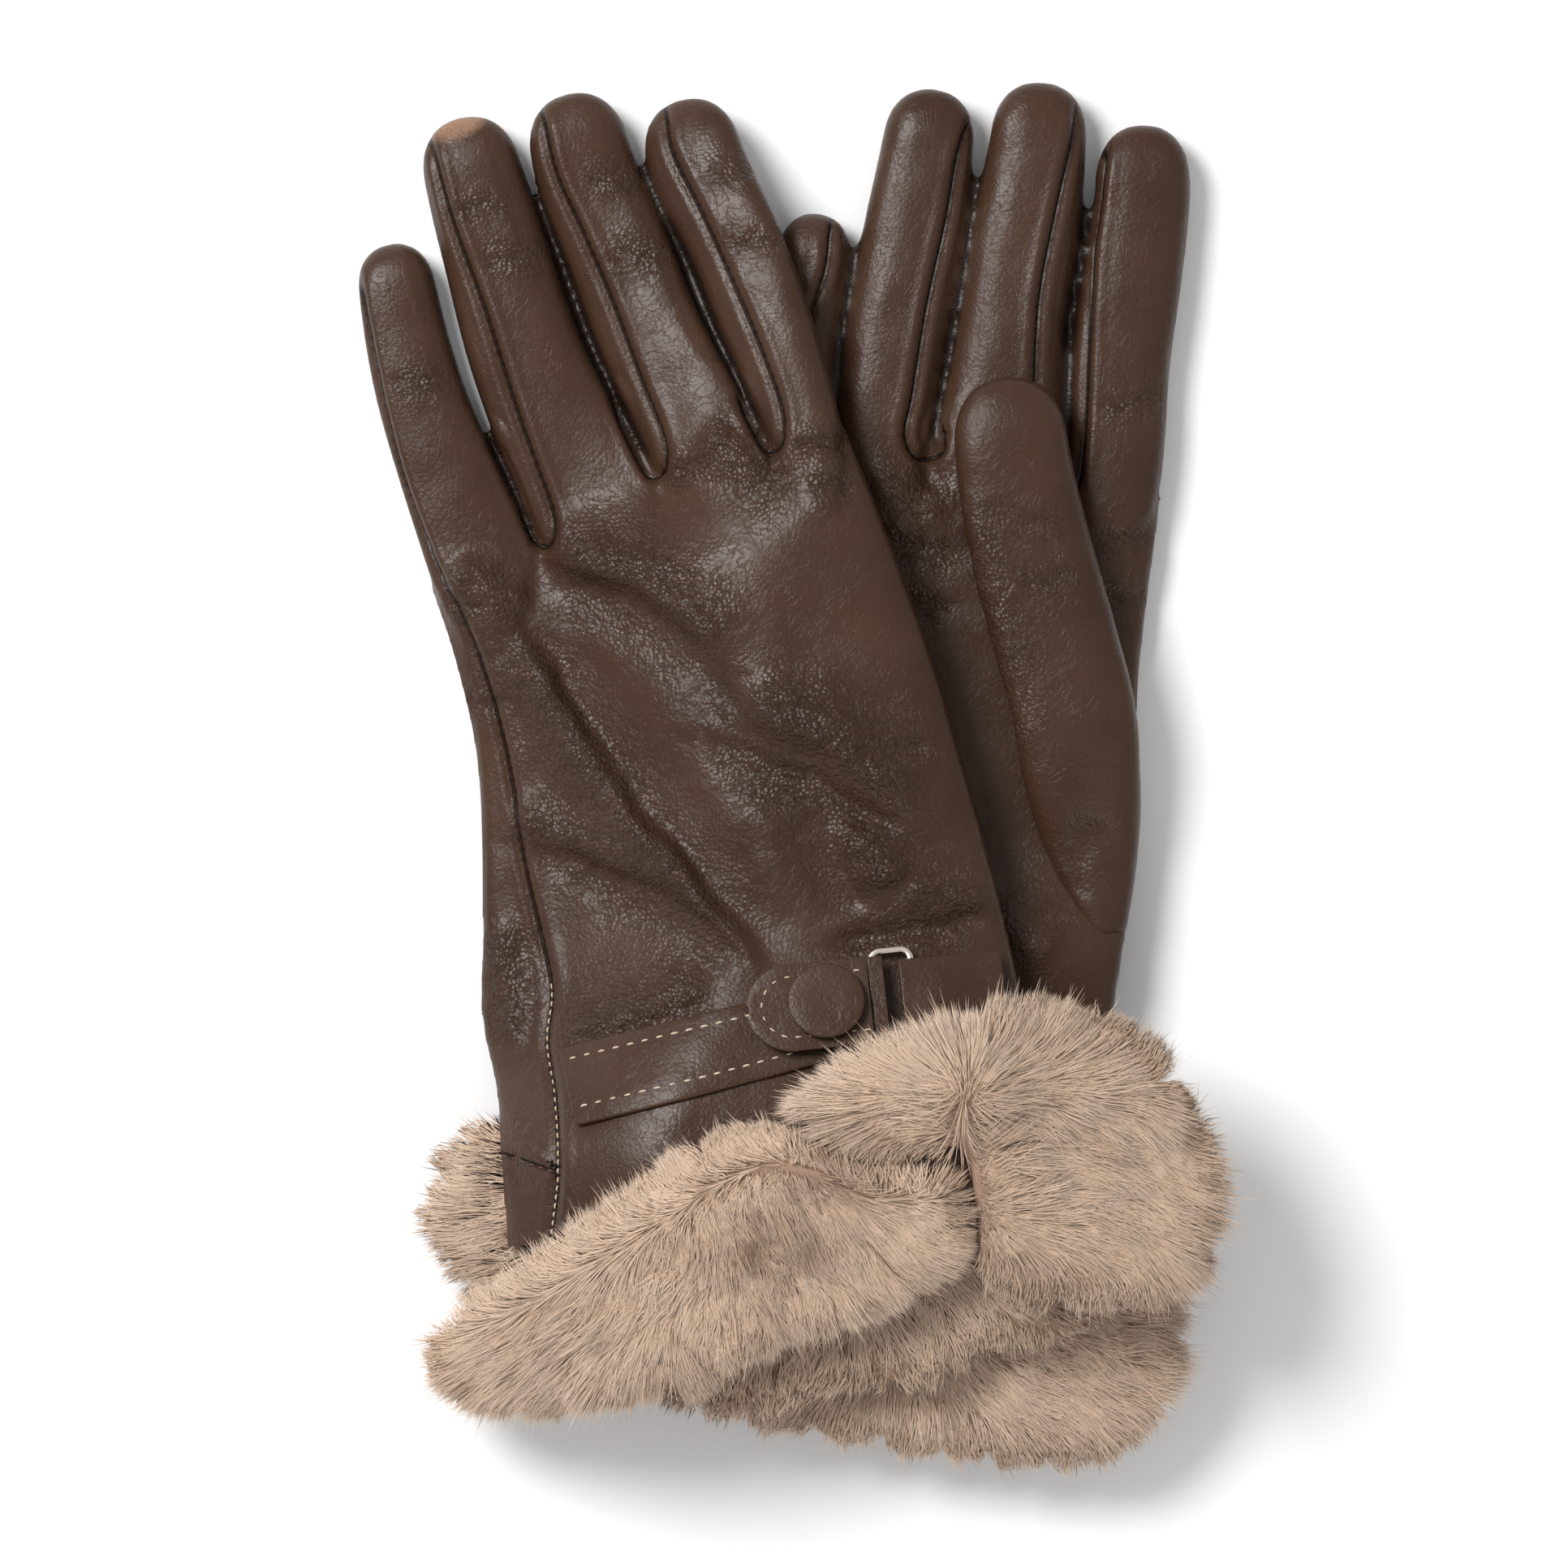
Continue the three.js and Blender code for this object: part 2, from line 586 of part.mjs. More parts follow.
function addTrims(glove) {
  const strapStops = [];
  const steps = 9;
  const strapStart = 3 - glove.strapLength;
  for (let k = 0; k <= steps; k++) strapStops.push(strapStart + (8.5 - strapStart) * k / steps);
  const shift = glove.backUp ? -2.6 : 0;
  addStrip(glove, glove.name + "_strap", glove.strapTilt, strapStops, () => STRAP_WIDTH / 2,
    strapBottom, STRAP_THICK, shift);

  const endStart = KEEPER_AT + KEEPER_WIRE / 2 + 1.4;
  const endStops = [0, 0.33, 0.66, 1].map((t) => endStart + t * glove.strapEndLength);
  addStrip(glove, glove.name + "_strap_end", glove.tabTilt, endStops, () => STRAP_WIDTH / 2,
    strapBottom, STRAP_THICK);

  // The tab hinges beside the keeper's near bar, lies over the strap and ends in a half circle.
  const roundStart = 6.6;
  const tabEnd = KEEPER_AT - KEEPER_WIDTH / 2 - 0.2;
  const halfTab = TAB_WIDTH / 2;
  const tabHalf = (a) => {
    if (a > -roundStart) return halfTab;
    const t = Math.min(1, (-a - roundStart) / halfTab);
    return halfTab * Math.sqrt(1 - t * t);
  };
  const tabStops = [tabEnd, 4, -2, -roundStart, -10.5, -13.4, -roundStart - halfTab];
  addStrip(glove, glove.name + "_tab", glove.tabTilt, tabStops, tabHalf, tabBottom, TAB_THICK);

  addDisc(glove, glove.name + "_button", discProfile(BUTTON_RADIUS, BUTTON_HEIGHT),
    buttonBottom, "leather");
  addDisc(glove, glove.name + "_snap_stud", discProfile(SNAP_RADIUS, SNAP_HEIGHT),
    snapBottom, "metal");

  // Rectangular metal ring standing round the strap ends.
  const shape = new THREE.Shape();
  const [w, h] = [KEEPER_WIDTH / 2, KEEPER_HEIGHT / 2];
  shape.moveTo(-w, -h).lineTo(w, -h).lineTo(w, h).lineTo(-w, h).closePath();
  const hole = new THREE.Path();
  const [wi, hi] = [w - KEEPER_WIRE, h - KEEPER_WIRE];
  hole.moveTo(-wi, -hi).lineTo(-wi, hi).lineTo(wi, hi).lineTo(wi, -hi).closePath();
  shape.holes.push(hole);
  const ring = new THREE.ExtrudeGeometry(shape, {
    depth: KEEPER_WIRE,
    bevelEnabled: false,
  });
  const place = onBack(glove, glove.tabTilt, KEEPER_AT, 0, snapBottom);
  const keeper = addMesh(glove.name + "_keeper", ring, "metal");
  const turn = THREE.MathUtils.degToRad(glove.tabTilt);
  const right = new THREE.Vector3(Math.cos(turn), Math.sin(turn), 0);
  const z = place.normal;
  const x = right.addScaledVector(z, -right.dot(z)).normalize();
  const y = new THREE.Vector3().crossVectors(z, x);
  keeper.quaternion.setFromRotationMatrix(new THREE.Matrix4().makeBasis(x, y, z));
  keeper.position.copy(place.point);
}

// ---- The pair -----------------------------------------------------------------------------

for (const glove of [RIGHT, LEFT]) {
  addPanel(glove, glove.name + "_back_panel", glove.backUp ? 1 : -1, false);
  addPanel(glove, glove.name + "_palm_panel", glove.backUp ? -1 : 1, true);
  addLining(glove);
  addCuff(glove);
  FINGERS.forEach((name, k) => {
    addFingerBase(glove, k);
    addFinger(glove, name);
  });
  addTrims(glove);
}
addThumb(RIGHT_THUMB);
addThumb(LEFT_THUMB);
for (const [name, strip] of Object.entries(FUR)) addFur("left", name, strip);
for (const [name, strip] of Object.entries(REAR_FUR)) addFur("right", name, strip);

// Stand the pair on the table with its box centred on the origin.
const box = new THREE.Box3().setFromObject(group, true);
const centre = box.getCenter(new THREE.Vector3());
group.position.set(-centre.x, -centre.y, -box.min.z);

export default group;
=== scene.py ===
# A pair of women's dress gloves in brown nappa leather with rabbit-fur cuffs.
# The right glove lies palm up on the table, and the left glove lies back up across it.
import json
import math

import bpy
import numpy as np
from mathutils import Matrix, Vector, noise
from mathutils.bvhtree import BVHTree

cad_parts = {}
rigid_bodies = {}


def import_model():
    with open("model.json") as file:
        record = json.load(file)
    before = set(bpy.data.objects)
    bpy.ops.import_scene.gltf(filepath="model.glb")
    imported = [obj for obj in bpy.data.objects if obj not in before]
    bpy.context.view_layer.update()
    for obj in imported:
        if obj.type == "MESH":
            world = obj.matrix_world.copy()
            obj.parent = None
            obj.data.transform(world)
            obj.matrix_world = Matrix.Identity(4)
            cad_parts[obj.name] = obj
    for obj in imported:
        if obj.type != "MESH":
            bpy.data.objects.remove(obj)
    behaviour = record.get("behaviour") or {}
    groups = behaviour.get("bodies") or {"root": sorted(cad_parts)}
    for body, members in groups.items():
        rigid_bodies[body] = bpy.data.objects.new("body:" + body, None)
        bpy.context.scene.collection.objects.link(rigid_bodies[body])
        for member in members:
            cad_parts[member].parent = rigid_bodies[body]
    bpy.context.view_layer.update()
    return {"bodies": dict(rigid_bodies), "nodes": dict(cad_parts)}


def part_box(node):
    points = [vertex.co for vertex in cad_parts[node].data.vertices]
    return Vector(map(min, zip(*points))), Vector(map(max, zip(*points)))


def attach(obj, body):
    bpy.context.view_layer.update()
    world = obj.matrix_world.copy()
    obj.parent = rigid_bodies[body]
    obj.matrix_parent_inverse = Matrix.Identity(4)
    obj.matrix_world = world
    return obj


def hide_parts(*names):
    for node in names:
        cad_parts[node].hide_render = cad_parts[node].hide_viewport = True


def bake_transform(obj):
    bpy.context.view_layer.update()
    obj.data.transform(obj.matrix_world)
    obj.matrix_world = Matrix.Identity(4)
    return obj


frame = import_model()
bpy.ops.object.select_all(action="DESELECT")

# ---- How the pair lies ----------------------------------------------------------------------
# Both gloves are cut and sewn on one flat plan, in millimetres, and then laid over the table and
# over each other. The plan is placed by the covered button of the right glove.
MM = 0.001
RIGHT_BUTTON = (31.5, -46.0)
low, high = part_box("right_button")
PLAN_X = (low.x + high.x) / 2 - RIGHT_BUTTON[0] * MM
PLAN_Y = (low.y + high.y) / 2 - RIGHT_BUTTON[1] * MM

HAND_THICK = 10.0
WRIST_THICK = 8.0
FINGER_THICK = 11.5
REAR_EDGE = [(-75, -38), (-20, -19), (40, -19), (62, -6), (110, -2), (140, 9)]
OVER_REAR = [(-74, 30.8), (-22, 19.2), (50, 18.9), (78, 14), (140, 14)]
WRIST_LIFT = 7.5


def rise(value, start, end):
    t = np.clip((np.asarray(value, float) - start) / (end - start), 0, 1)
    return (1 - np.cos(np.pi * t)) / 2


def between(value, knots):
    out = np.full(np.shape(value), float(knots[0][1]))
    for (x0, y0), (x1, y1) in zip(knots, knots[1:]):
        out = np.where(value > x0, y0 + (y1 - y0) * rise(value, x0, x1), out)
    return out


def table_to_glove(side, x, y):
    """Height of the underside of a glove's leather above the table."""
    x, y = np.asarray(x, float), np.asarray(y, float)
    if side == "right":
        return WRIST_LIFT * rise(-y, 8, 36)
    edge = between(y, REAR_EDGE)
    lying = WRIST_LIFT * rise(-y, 50, 76)
    return lying + (between(y, OVER_REAR) - lying) * rise(x - edge, -38, 18)


def hand_thick(y):
    return HAND_THICK + (WRIST_THICK - HAND_THICK) * rise(-np.asarray(y, float), 10, 60)


def to_row(points):
    """Plan millimetres to metres in the part's frame."""
    return np.asarray(points, float) * MM + (PLAN_X, PLAN_Y, 0)


# ---- Camera ---------------------------------------------------------------------------------
# It looks straight down at the pair, from far enough away to keep the shapes true. The lens is
# worked out from the width that the view takes in.
VIEW_WIDTH = 306.67
VIEW_CENTRE = (-0.4, 0.63, 20.0)
CAMERA_RISE = 1500.0
bpy.ops.object.camera_add(location=to_row([VIEW_CENTRE])[0] + (0, 0, CAMERA_RISE * MM))
camera = bpy.context.object
camera.data.lens = camera.data.sensor_width * CAMERA_RISE / VIEW_WIDTH
camera.data.clip_end = 10
bpy.context.scene.camera = camera
bpy.ops.object.select_all(action="DESELECT")

# ---- Glove leather --------------------------------------------------------------------------
# Thin nappa leather, cut as a back, a palm that wraps round the little-finger side, and fingers
# with side strips let in. The seams are sewn inwards, so each shows as a sunk line.
CUTS = {
    "left": {
        "rim": [(-70.5, 40), (-48.3, 46.3), (-25.5, 61), (-3.5, 66.5), (11.8, 70)],
        "edges": [
            [(-66, 27), (23, 41)], [(-61.5, 8), (29.5, 22)], [(-60.2, -10), (34.8, 3)],
            [(-60, -30), (40.5, -17)], [(-60, -46), (44.5, -34)], [(-57, -60), (47, -48)],
            [(-56, -72), (49, -60)], [(-54.5, -91), (52, -80)],
        ],
        "fingers": {
            "little": [(-70, 71, 9.2), (-74.8, 88, 8.3), (-78.2, 107.2, 7.2)],
            "ring": [(-50, 82, 11.6), (-57.2, 105, 10.6), (-61.5, 120, 9.9), (-64.2, 132.2, 9)],
            "middle": [(-26.2, 88, 10.6), (-32.8, 105, 10.4), (-39.6, 122, 10.1), (-43, 136.9, 9.3)],
            "index": [(-3.5, 90, 8.9), (-10.5, 108, 9.3), (-17.2, 122, 9.7), (-20.8, 135.6, 9)],
        },
    },
    "right": {
        "rim": [(-9, 54), (9.5, 60), (28, 64), (55.5, 62), (74.2, 57)],
        "edges": [
            [(-14, 44), (71.3, 36)], [(-17.5, 24), (69.4, 16)], [(-18.5, 2), (69.8, -6)],
            [(-19.5, -18), (67.4, -25)], [(-20.3, -30), (65.8, -36)], [(-21.5, -39), (64.4, -45)],
            [(-24, -56), (63, -62)], [(-27, -74), (63, -80)], [(-30, -95), (62, -101)],
        ],
        "fingers": {
            "little": [(1.6, 83, 8), (4.2, 98, 7.6), (6.8, 113.2, 7.2)],
            "ring": [(21.3, 87, 10.1), (25, 107, 10.3), (27.6, 124, 9.3), (29.3, 137.8, 8.2)],
            "middle": [(44.1, 88, 10.7), (47, 108, 10.7), (49.6, 126, 9.7), (50.5, 139.2, 8.6)],
            "index": [(66.2, 84, 9.7), (68.3, 100, 9.8), (70.3, 116, 9.5), (70.5, 130.8, 8.8)],
        },
    },
}

# Sunk seams on the side that faces up. The order runs from the fingertip, round the fork; the
# leather lies lower on one side of each (1 for its left, -1 for its right).
SEAMS = {
    "left": [
        ([(-84.6, 101), (-81.6, 85), (-76.5, 63), (-70, 46), (-63, 32), (-57.5, 16), (-54, 1),
          (-52, -13), (-48.5, -28), (-46, -40), (-46.8, -50), (-45, -61), (-44.3, -75),
          (-46, -90)], -1),
        ([(-70.5, 128), (-66, 112), (-59, 93), (-54, 77), (-49.5, 64), (-45.7, 53), (-46.6, 47.4),
          (-49.6, 48.6), (-53, 57), (-58, 68)], -1),
        ([(-48.5, 134), (-45.5, 121), (-40, 109), (-34, 95), (-28.5, 80), (-24, 68), (-24.2, 62.2),
          (-26.6, 61.2), (-29, 65), (-34, 76)], -1),
        ([(-24, 134.5), (-22.5, 125), (-17, 113.5), (-11, 100), (-5.5, 87), (-1, 74), (-1.2, 67),
          (-3.6, 65.6), (-6, 70), (-9, 76)], -1),
        ([(-57.5, -71.5), (-50, -73.4), (-44.4, -75)], -1),
    ],
    "right": [
        ([(9, 112), (8, 102), (4.5, 92), (2, 82)], 1),
        ([(36, 131), (34, 124), (32, 113), (28, 95), (25, 77), (23.6, 69), (26.4, 64.6),
          (30.4, 66), (31, 70)], 1),
        ([(57.3, 134), (56.8, 128), (53, 112), (50, 96), (49.2, 80), (49.6, 66)], 1),
        ([(62.8, 128), (61.6, 116), (60.2, 105), (59.3, 88), (58.7, 72), (57.4, 59)], -1),
    ],
}

# Folds of the worn leather: points, height (a crease is below 0), width to the left and right
# of the line, and how much the grain is crumpled there.
FOLDS = {
    "left": [
        ([(-48, 46.5), (-37, 42.5), (-26, 37.5), (-17, 31.5), (-10, 25)], 2.0, 7.5, 2.2, 1.0),
        ([(-51, 42), (-38, 37.5), (-27, 32), (-18, 25.5), (-11, 18), (-6, 10), (-3, 4)],
         -1.5, 2.6, 6.0, 0.5),
        ([(-66, 45), (-58, 40), (-50, 35)], 1.3, 3.0, 7.0, 0.7),
        ([(-60, 36), (-52, 27.5), (-44.5, 16.5), (-38.5, 6.5), (-29, -7), (-20, -18), (-10, -31),
          (-5, -38)], 2.1, 2.3, 6.5, 1.0),
        ([(-52, 33.5), (-46, 27), (-39, 16.5), (-33, 7), (-24, -5), (-15, -16.5), (-5.5, -29),
          (-1, -37)], -1.9, 8.0, 3.0, 0.25),
        ([(-50, -12), (-41, -14), (-32, -18), (-24, -22), (-15, -28), (-7, -37)],
         -2.0, 1.7, 6.5, 0.7),
        ([(-56, -4), (-47, -8), (-37, -12), (-28, -17)], 1.0, 5.0, 3.0, 0.8),
        ([(-17, 9), (-9, 6.6), (0.5, 2.7), (8.4, -0.5), (16, -5), (24, -9.5)],
         -2.3, 1.6, 6.0, 0.8),
        ([(-11, 15), (-2, 13), (8, 9), (17, 2.5), (26, -5.5)], 1.9, 7.5, 3.4, 1.0),
        ([(5, -4), (7.5, -11), (11, -18), (15, -24)], -2.0, 2.0, 6.0, 0.4),
        ([(12, -5), (16, -12), (21, -20)], 1.4, 6.0, 3.4, 1.0),
        ([(7, -31.5), (16, -29.8), (25, -28.5), (40, -26.5)], -1.3, 2.8, 2.0, 0.7),
        ([(22, -19), (30, -21), (39, -22)], 0.8, 4.0, 3.5, 0.8),
        ([(-24.8, 60.6), (-17, 63.5), (-9.5, 66.6)], -0.8, 1.5, 1.5, 0.9),
        ([(-0.4, 65.4), (6.4, 67.4), (13, 65.6)], -0.8, 1.3, 1.3, 0.9),
        ([(3, 59.5), (9, 58.4), (15, 57)], -0.55, 1.2, 1.2, 0.8),
        ([(-19, 69), (-12, 66), (-4, 61), (3, 58)], 1.1, 3.4, 4.6, 0.9),
        ([(13, 9), (20, 7.4), (29, 8.4)], -0.9, 1.6, 2.4, 0.7),
        ([(-68, 37), (-63, 35), (-58, 36)], -0.6, 1.0, 1.0, 0.9),
        ([(-64, 18), (-60, 17), (-55, 18.5)], -0.6, 1.0, 1.2, 0.6),
        ([(-45, -47.5), (-34, -45.5), (-24, -42), (-13, -37.5)], 1.3, 5.5, 2.6, 1.0),
        ([(-57, -24), (-55, -38), (-54, -52)], 0.8, 3.0, 3.0, 0.7),
        ([(-58, -62), (-54, -68), (-50, -80)], -0.7, 2.5, 2.5, 0.2),
        ([(-78, 80), (-72, 79), (-66, 80.5)], -0.3, 0.9, 0.9, 0.7),
        ([(-61, 103), (-54, 104.5), (-47, 103)], -0.3, 0.9, 0.9, 0.7),
        ([(-66, 113), (-59, 115), (-52, 114)], -0.25, 0.9, 0.9, 0.7),
        ([(-36, 104), (-29, 105), (-22, 103)], -0.3, 0.9, 0.9, 0.7),
        ([(-41, 119), (-35, 120), (-28, 118.5)], -0.25, 0.9, 0.9, 0.7),
        ([(-13, 106), (-7, 107), (-1, 105.5)], -0.3, 0.9, 0.9, 0.7),
        ([(-16, 120), (-10, 121.5), (-5, 120)], -0.25, 0.9, 0.9, 0.7),
    ],
    "right": [
        ([(16, 62), (24, 58), (33, 52)], 1.0, 4.0, 4.0, 0.8),
        ([(9, 57), (19, 50), (30, 47), (36, 48)], -0.9, 1.4, 2.8, 0.8),
        ([(12, 40), (24, 38), (35, 36)], -0.9, 1.4, 3.0, 0.8),
        ([(60, 50), (66, 48.5), (73, 50)], -0.6, 1.2, 1.2, 0.7),
        ([(61, 40), (66, 37), (72, 38)], -0.6, 1.2, 1.2, 0.7),
        ([(62, 76), (69, 75), (75, 77)], -0.45, 1.1, 1.1, 0.7),
        ([(40, -20), (46, -28), (54, -34)], 0.9, 4.0, 4.0, 0.5),
    ],
}
# Places where the dye has been rubbed off: x, y and reach.
WORN = {"left": [(-67, 129.5, 5.5), (-62, 132, 4)], "right": []}
VOXEL = {"left": 0.8, "right": 0.95}
# How much fuller the strips are made at the three forks, in the lower half of the fingers.
SIDE_STRIP = {"left": (0.2, 2.0, 2.0), "right": (0.3, 1.8, 2.0)}
SEAM_DEEP = 1.0
SEAM_HALF = 0.75
SEAM_REACH = 3.0
SEAM_STEP = 1.0
SEAM_STEP_REACH = 6.0
LEATHER_THICK = 1.2
RIDGE_GAIN, CREASE_GAIN = 1.6, 1.15
CREASE_LIMIT, CREASE_EASE = 0.9, 0.7
WANDER, WANDER_SIZE = 1.7, 9
LOOSE, LOOSE_SIZE = 0.30, 17
UNEVEN, UNEVEN_SIZE = 0.14, 6.5
CRUMPLE_HIGH, CRUMPLE_SIZE = 0.42, 2.4
LIP_HIGH, LIP_AT = 0.42, 1.9
OFF_TABLE = 0.05
CUFF_TRIM = 1.2
CUFF_BAND = 17.5
FORK_FREE = 5.0
TIP_DOME = 1.2
TIP_TURNS = (15, 30, 45, 58, 70, 80, 87)
TUBE_STOPS = 30
FINGERS = ["little", "ring", "middle", "index"]


def run_along(line):
    """How far along a line each of its points is, in plan."""
    return np.r_[0, np.cumsum(np.linalg.norm(np.diff(line[:, :2], axis=0), axis=1))]


def smooth_line(points, count):
    """A smooth line through the points, in evenly spaced steps."""
    p = np.asarray(points, float)
    ends = np.vstack([2 * p[0] - p[1], p, 2 * p[-1] - p[-2]])
    t = np.linspace(0, 1, 16, endpoint=False)[:, None]
    parts = []
    for a, b, c, d in zip(ends, ends[1:], ends[2:], ends[3:]):
        turn = (2 * a - 5 * b + 4 * c - d) * t**2 + (-a + 3 * b - 3 * c + d) * t**3
        parts.append(0.5 * (2 * b + (c - a) * t + turn))
    dense = np.vstack([*parts, p[-1:]])
    run = run_along(dense)
    at = np.linspace(0, run[-1], count)
    return np.column_stack([np.interp(at, run, column) for column in dense.T])


def squared_round(angle, power=2 / 2.5):
    """Cosine and sine of a rounded-rectangle section."""
    c, s = np.cos(angle), np.sin(angle)
    return np.sign(c) * np.abs(c) ** power, np.sign(s) * np.abs(s) ** power


def tube_faces(rings, count, first=0):
    at = first + np.arange(rings * count).reshape(rings, count)
    beside = np.roll(at, -1, axis=1)
    sides = np.stack([at[:-1], beside[:-1], beside[1:], at[1:]], -1).reshape(-1, 4)
    return sides.tolist() + [at[0][::-1].tolist(), at[-1].tolist()]


def finger_line(cut, k):
    """Centre, half width and half height along a finger, from inside the hand to its tip."""
    a, b = np.array(cut["rim"][k]), np.array(cut["rim"][k + 1])
    half = np.linalg.norm(b - a) / 2
    side = (b - a) / (2 * half)
    along = np.array([-side[1], side[0]])
    centre = (a + b) / 2
    root = [(*(centre - along * 16), half - 3, 4.2), (*centre, half - 0.75, 5.5)]
    high = FINGER_THICK / 2
    rest = [(x, y, w, high) for x, y, w in cut["fingers"][FINGERS[k]]]
    return smooth_line(root + rest, 40)


def finger_rings(line, base, count=28, strips=(0, 0)):
    """Rings round a finger, closed by a blunt dome at the tip.

    The strips let in at its left and right are fuller in the lower half.
    """
    tip = line[-1]
    dome = tip[2] * TIP_DOME
    run = run_along(line)
    stops = list(np.linspace(0, run[-1] - dome, TUBE_STOPS))
    turns = [0.0] * len(stops) + [math.radians(a) for a in TIP_TURNS]
    stops += [run[-1] - dome] * len(TIP_TURNS)
    angle = np.linspace(0, 2 * np.pi, count, endpoint=False)
    across, up = squared_round(angle)
    rings = []
    for stop, turn in zip(stops, turns):
        x, y, w, h = (np.interp(stop, run, column) for column in line.T)
        ahead = [np.interp(stop + 1.5, run, c) - np.interp(stop - 1.5, run, c) for c in line.T[:2]]
        along = np.array(ahead) / np.linalg.norm(ahead)
        side = np.array([along[1], -along[0]])
        squeeze = math.cos(turn) ** 0.86
        reach = math.sin(turn) * dome
        full = np.where(across < 0, strips[0], strips[1]) * rise(-up, 0.0, 0.6)
        let_in = float(rise(stop, 8, 22) * (1 - rise(stop, run[-1] * 0.6, run[-1] - dome)))
        wide = across * (w + full * let_in) * squeeze
        plan = np.array([x, y]) + along * reach + np.outer(wide, side)
        rings.append(np.column_stack([plan, base + up * h * squeeze]))
    return np.array(rings)


def hand_rings(cut, inset=0.0, across=40):
    """Rings round the hand, from the forks down to the cuff, as a flat pillow."""
    rows = 44
    edges = [(cut["rim"][0], cut["rim"][-1]), *cut["edges"]]
    left = smooth_line([e[0] for e in edges], rows)
    right = smooth_line([e[1] for e in edges], rows)
    u = np.sin(np.linspace(-1, 1, across) * np.pi / 2)
    forks = np.array(cut["rim"], float)
    at = (u + 1) * 2
    rim = np.column_stack([np.interp(at, range(5), forks[:, k]) for k in (0, 1)])
    straight = left[0] + (right[0] - left[0]) * ((u + 1) / 2)[:, None]
    pad = np.clip(1 - np.abs(u) ** 6, 0, 1) ** 0.42
    rings = []
    for row in range(rows):
        part = row / (rows - 1)
        inner = u * (1 - inset / 50)
        plan = left[row] + (right[row] - left[row]) * ((inner + 1) / 2)[:, None]
        plan = plan + (rim - straight) * (1 - rise(part, 0, 0.16)) if row else rim
        half = (hand_thick(plan[:, 1]) / 2 * (0.5 + 0.5 * rise(part, 0, 0.07)) - inset) * pad
        centre = hand_thick(plan[:, 1]) / 2
        top = np.column_stack([plan, centre + half])
        under = np.column_stack([plan, centre - half])[::-1][1:-1]
        rings.append(np.vstack([top, under]))
    return np.array(rings)


def mesh_object(name, points, faces):
    mesh = bpy.data.meshes.new(name)
    mesh.from_pydata(np.asarray(points).tolist(), [], faces if isinstance(faces, list) else faces.tolist())
    mesh.update()
    piece = bpy.data.objects.new(name, mesh)
    bpy.context.scene.collection.objects.link(piece)
    return piece


def face_outwards(piece):
    """Turns the faces of a closed piece outwards."""
    bpy.context.view_layer.objects.active = piece
    piece.select_set(True)
    bpy.ops.object.mode_set(mode="EDIT")
    bpy.ops.mesh.select_all(action="SELECT")
    bpy.ops.mesh.normals_make_consistent(inside=False)
    bpy.ops.object.mode_set(mode="OBJECT")
    piece.select_set(False)


def apply_modifiers(piece):
    bpy.ops.object.select_all(action="DESELECT")
    piece.select_set(True)
    bpy.context.view_layer.objects.active = piece
    for modifier in list(piece.modifiers):
        bpy.ops.object.modifier_apply(modifier=modifier.name)
    bpy.ops.object.select_all(action="DESELECT")


def fused(volumes, voxel, smoothing):
    """One closed skin round several overlapping volumes: its points, quads and normals."""
    points, faces = [], []
    for rings in volumes:
        faces += tube_faces(len(rings), rings.shape[1], sum(len(p) for p in points))
        points.append(rings.reshape(-1, 3))
    piece = mesh_object("fused", np.vstack(points), faces)
    skin = piece.modifiers.new("skin", "REMESH")
    skin.mode = "VOXEL"
    skin.voxel_size = voxel
    soften = piece.modifiers.new("soften", "SMOOTH")
    soften.factor = 0.5
    soften.iterations = smoothing
    apply_modifiers(piece)
    return piece


def read_mesh(piece):
    mesh = piece.data
    points = np.empty(len(mesh.vertices) * 3, np.float32)
    mesh.vertices.foreach_get("co", points)
    normals = np.empty(len(mesh.vertices) * 3, np.float32)
    mesh.vertex_normals.foreach_get("vector", normals)
    faces = np.empty(len(mesh.loops), np.int32)
    mesh.loops.foreach_get("vertex_index", faces)
    return points.reshape(-1, 3).astype(float), normals.reshape(-1, 3).astype(float), faces.reshape(-1, 4)


def write_points(piece, points):
    piece.data.vertices.foreach_set("co", np.asarray(points, np.float32).ravel())
    piece.data.update()


def to_line(points, line):
    """Signed distance of plan points from a line (left is above 0), and how far along they are."""
    a, b = line[:-1], line[1:]
    d = b - a
    length = np.linalg.norm(d, axis=1)
    run = np.r_[0, np.cumsum(length)]
    best = np.full(len(points), 1e9)
    signed, along = np.zeros(len(points)), np.zeros(len(points))
    for k in range(len(a)):
        r = points - a[k]
        t = np.clip(r @ d[k] / length[k] ** 2, 0, 1)
        off = r - t[:, None] * d[k]
        distance = np.linalg.norm(off, axis=1)
        near = distance < best
        best[near] = distance[near]
        turn = d[k][0] * off[:, 1] - d[k][1] * off[:, 0]
        signed[near] = np.where(turn[near] < 0, -distance[near], distance[near])
        along[near] = (run[k] + t * length[k])[near]
    return signed, along, run[-1]


def ripple(points, size, seed):
    """Smooth noise from -1 to 1, with bumps about size millimetres across."""
    shift = Vector((seed * 17.3, seed * 5.1, seed * 2.7))
    scale = 1 / size
    return np.array([noise.noise(Vector(p) * scale + shift) for p in points])


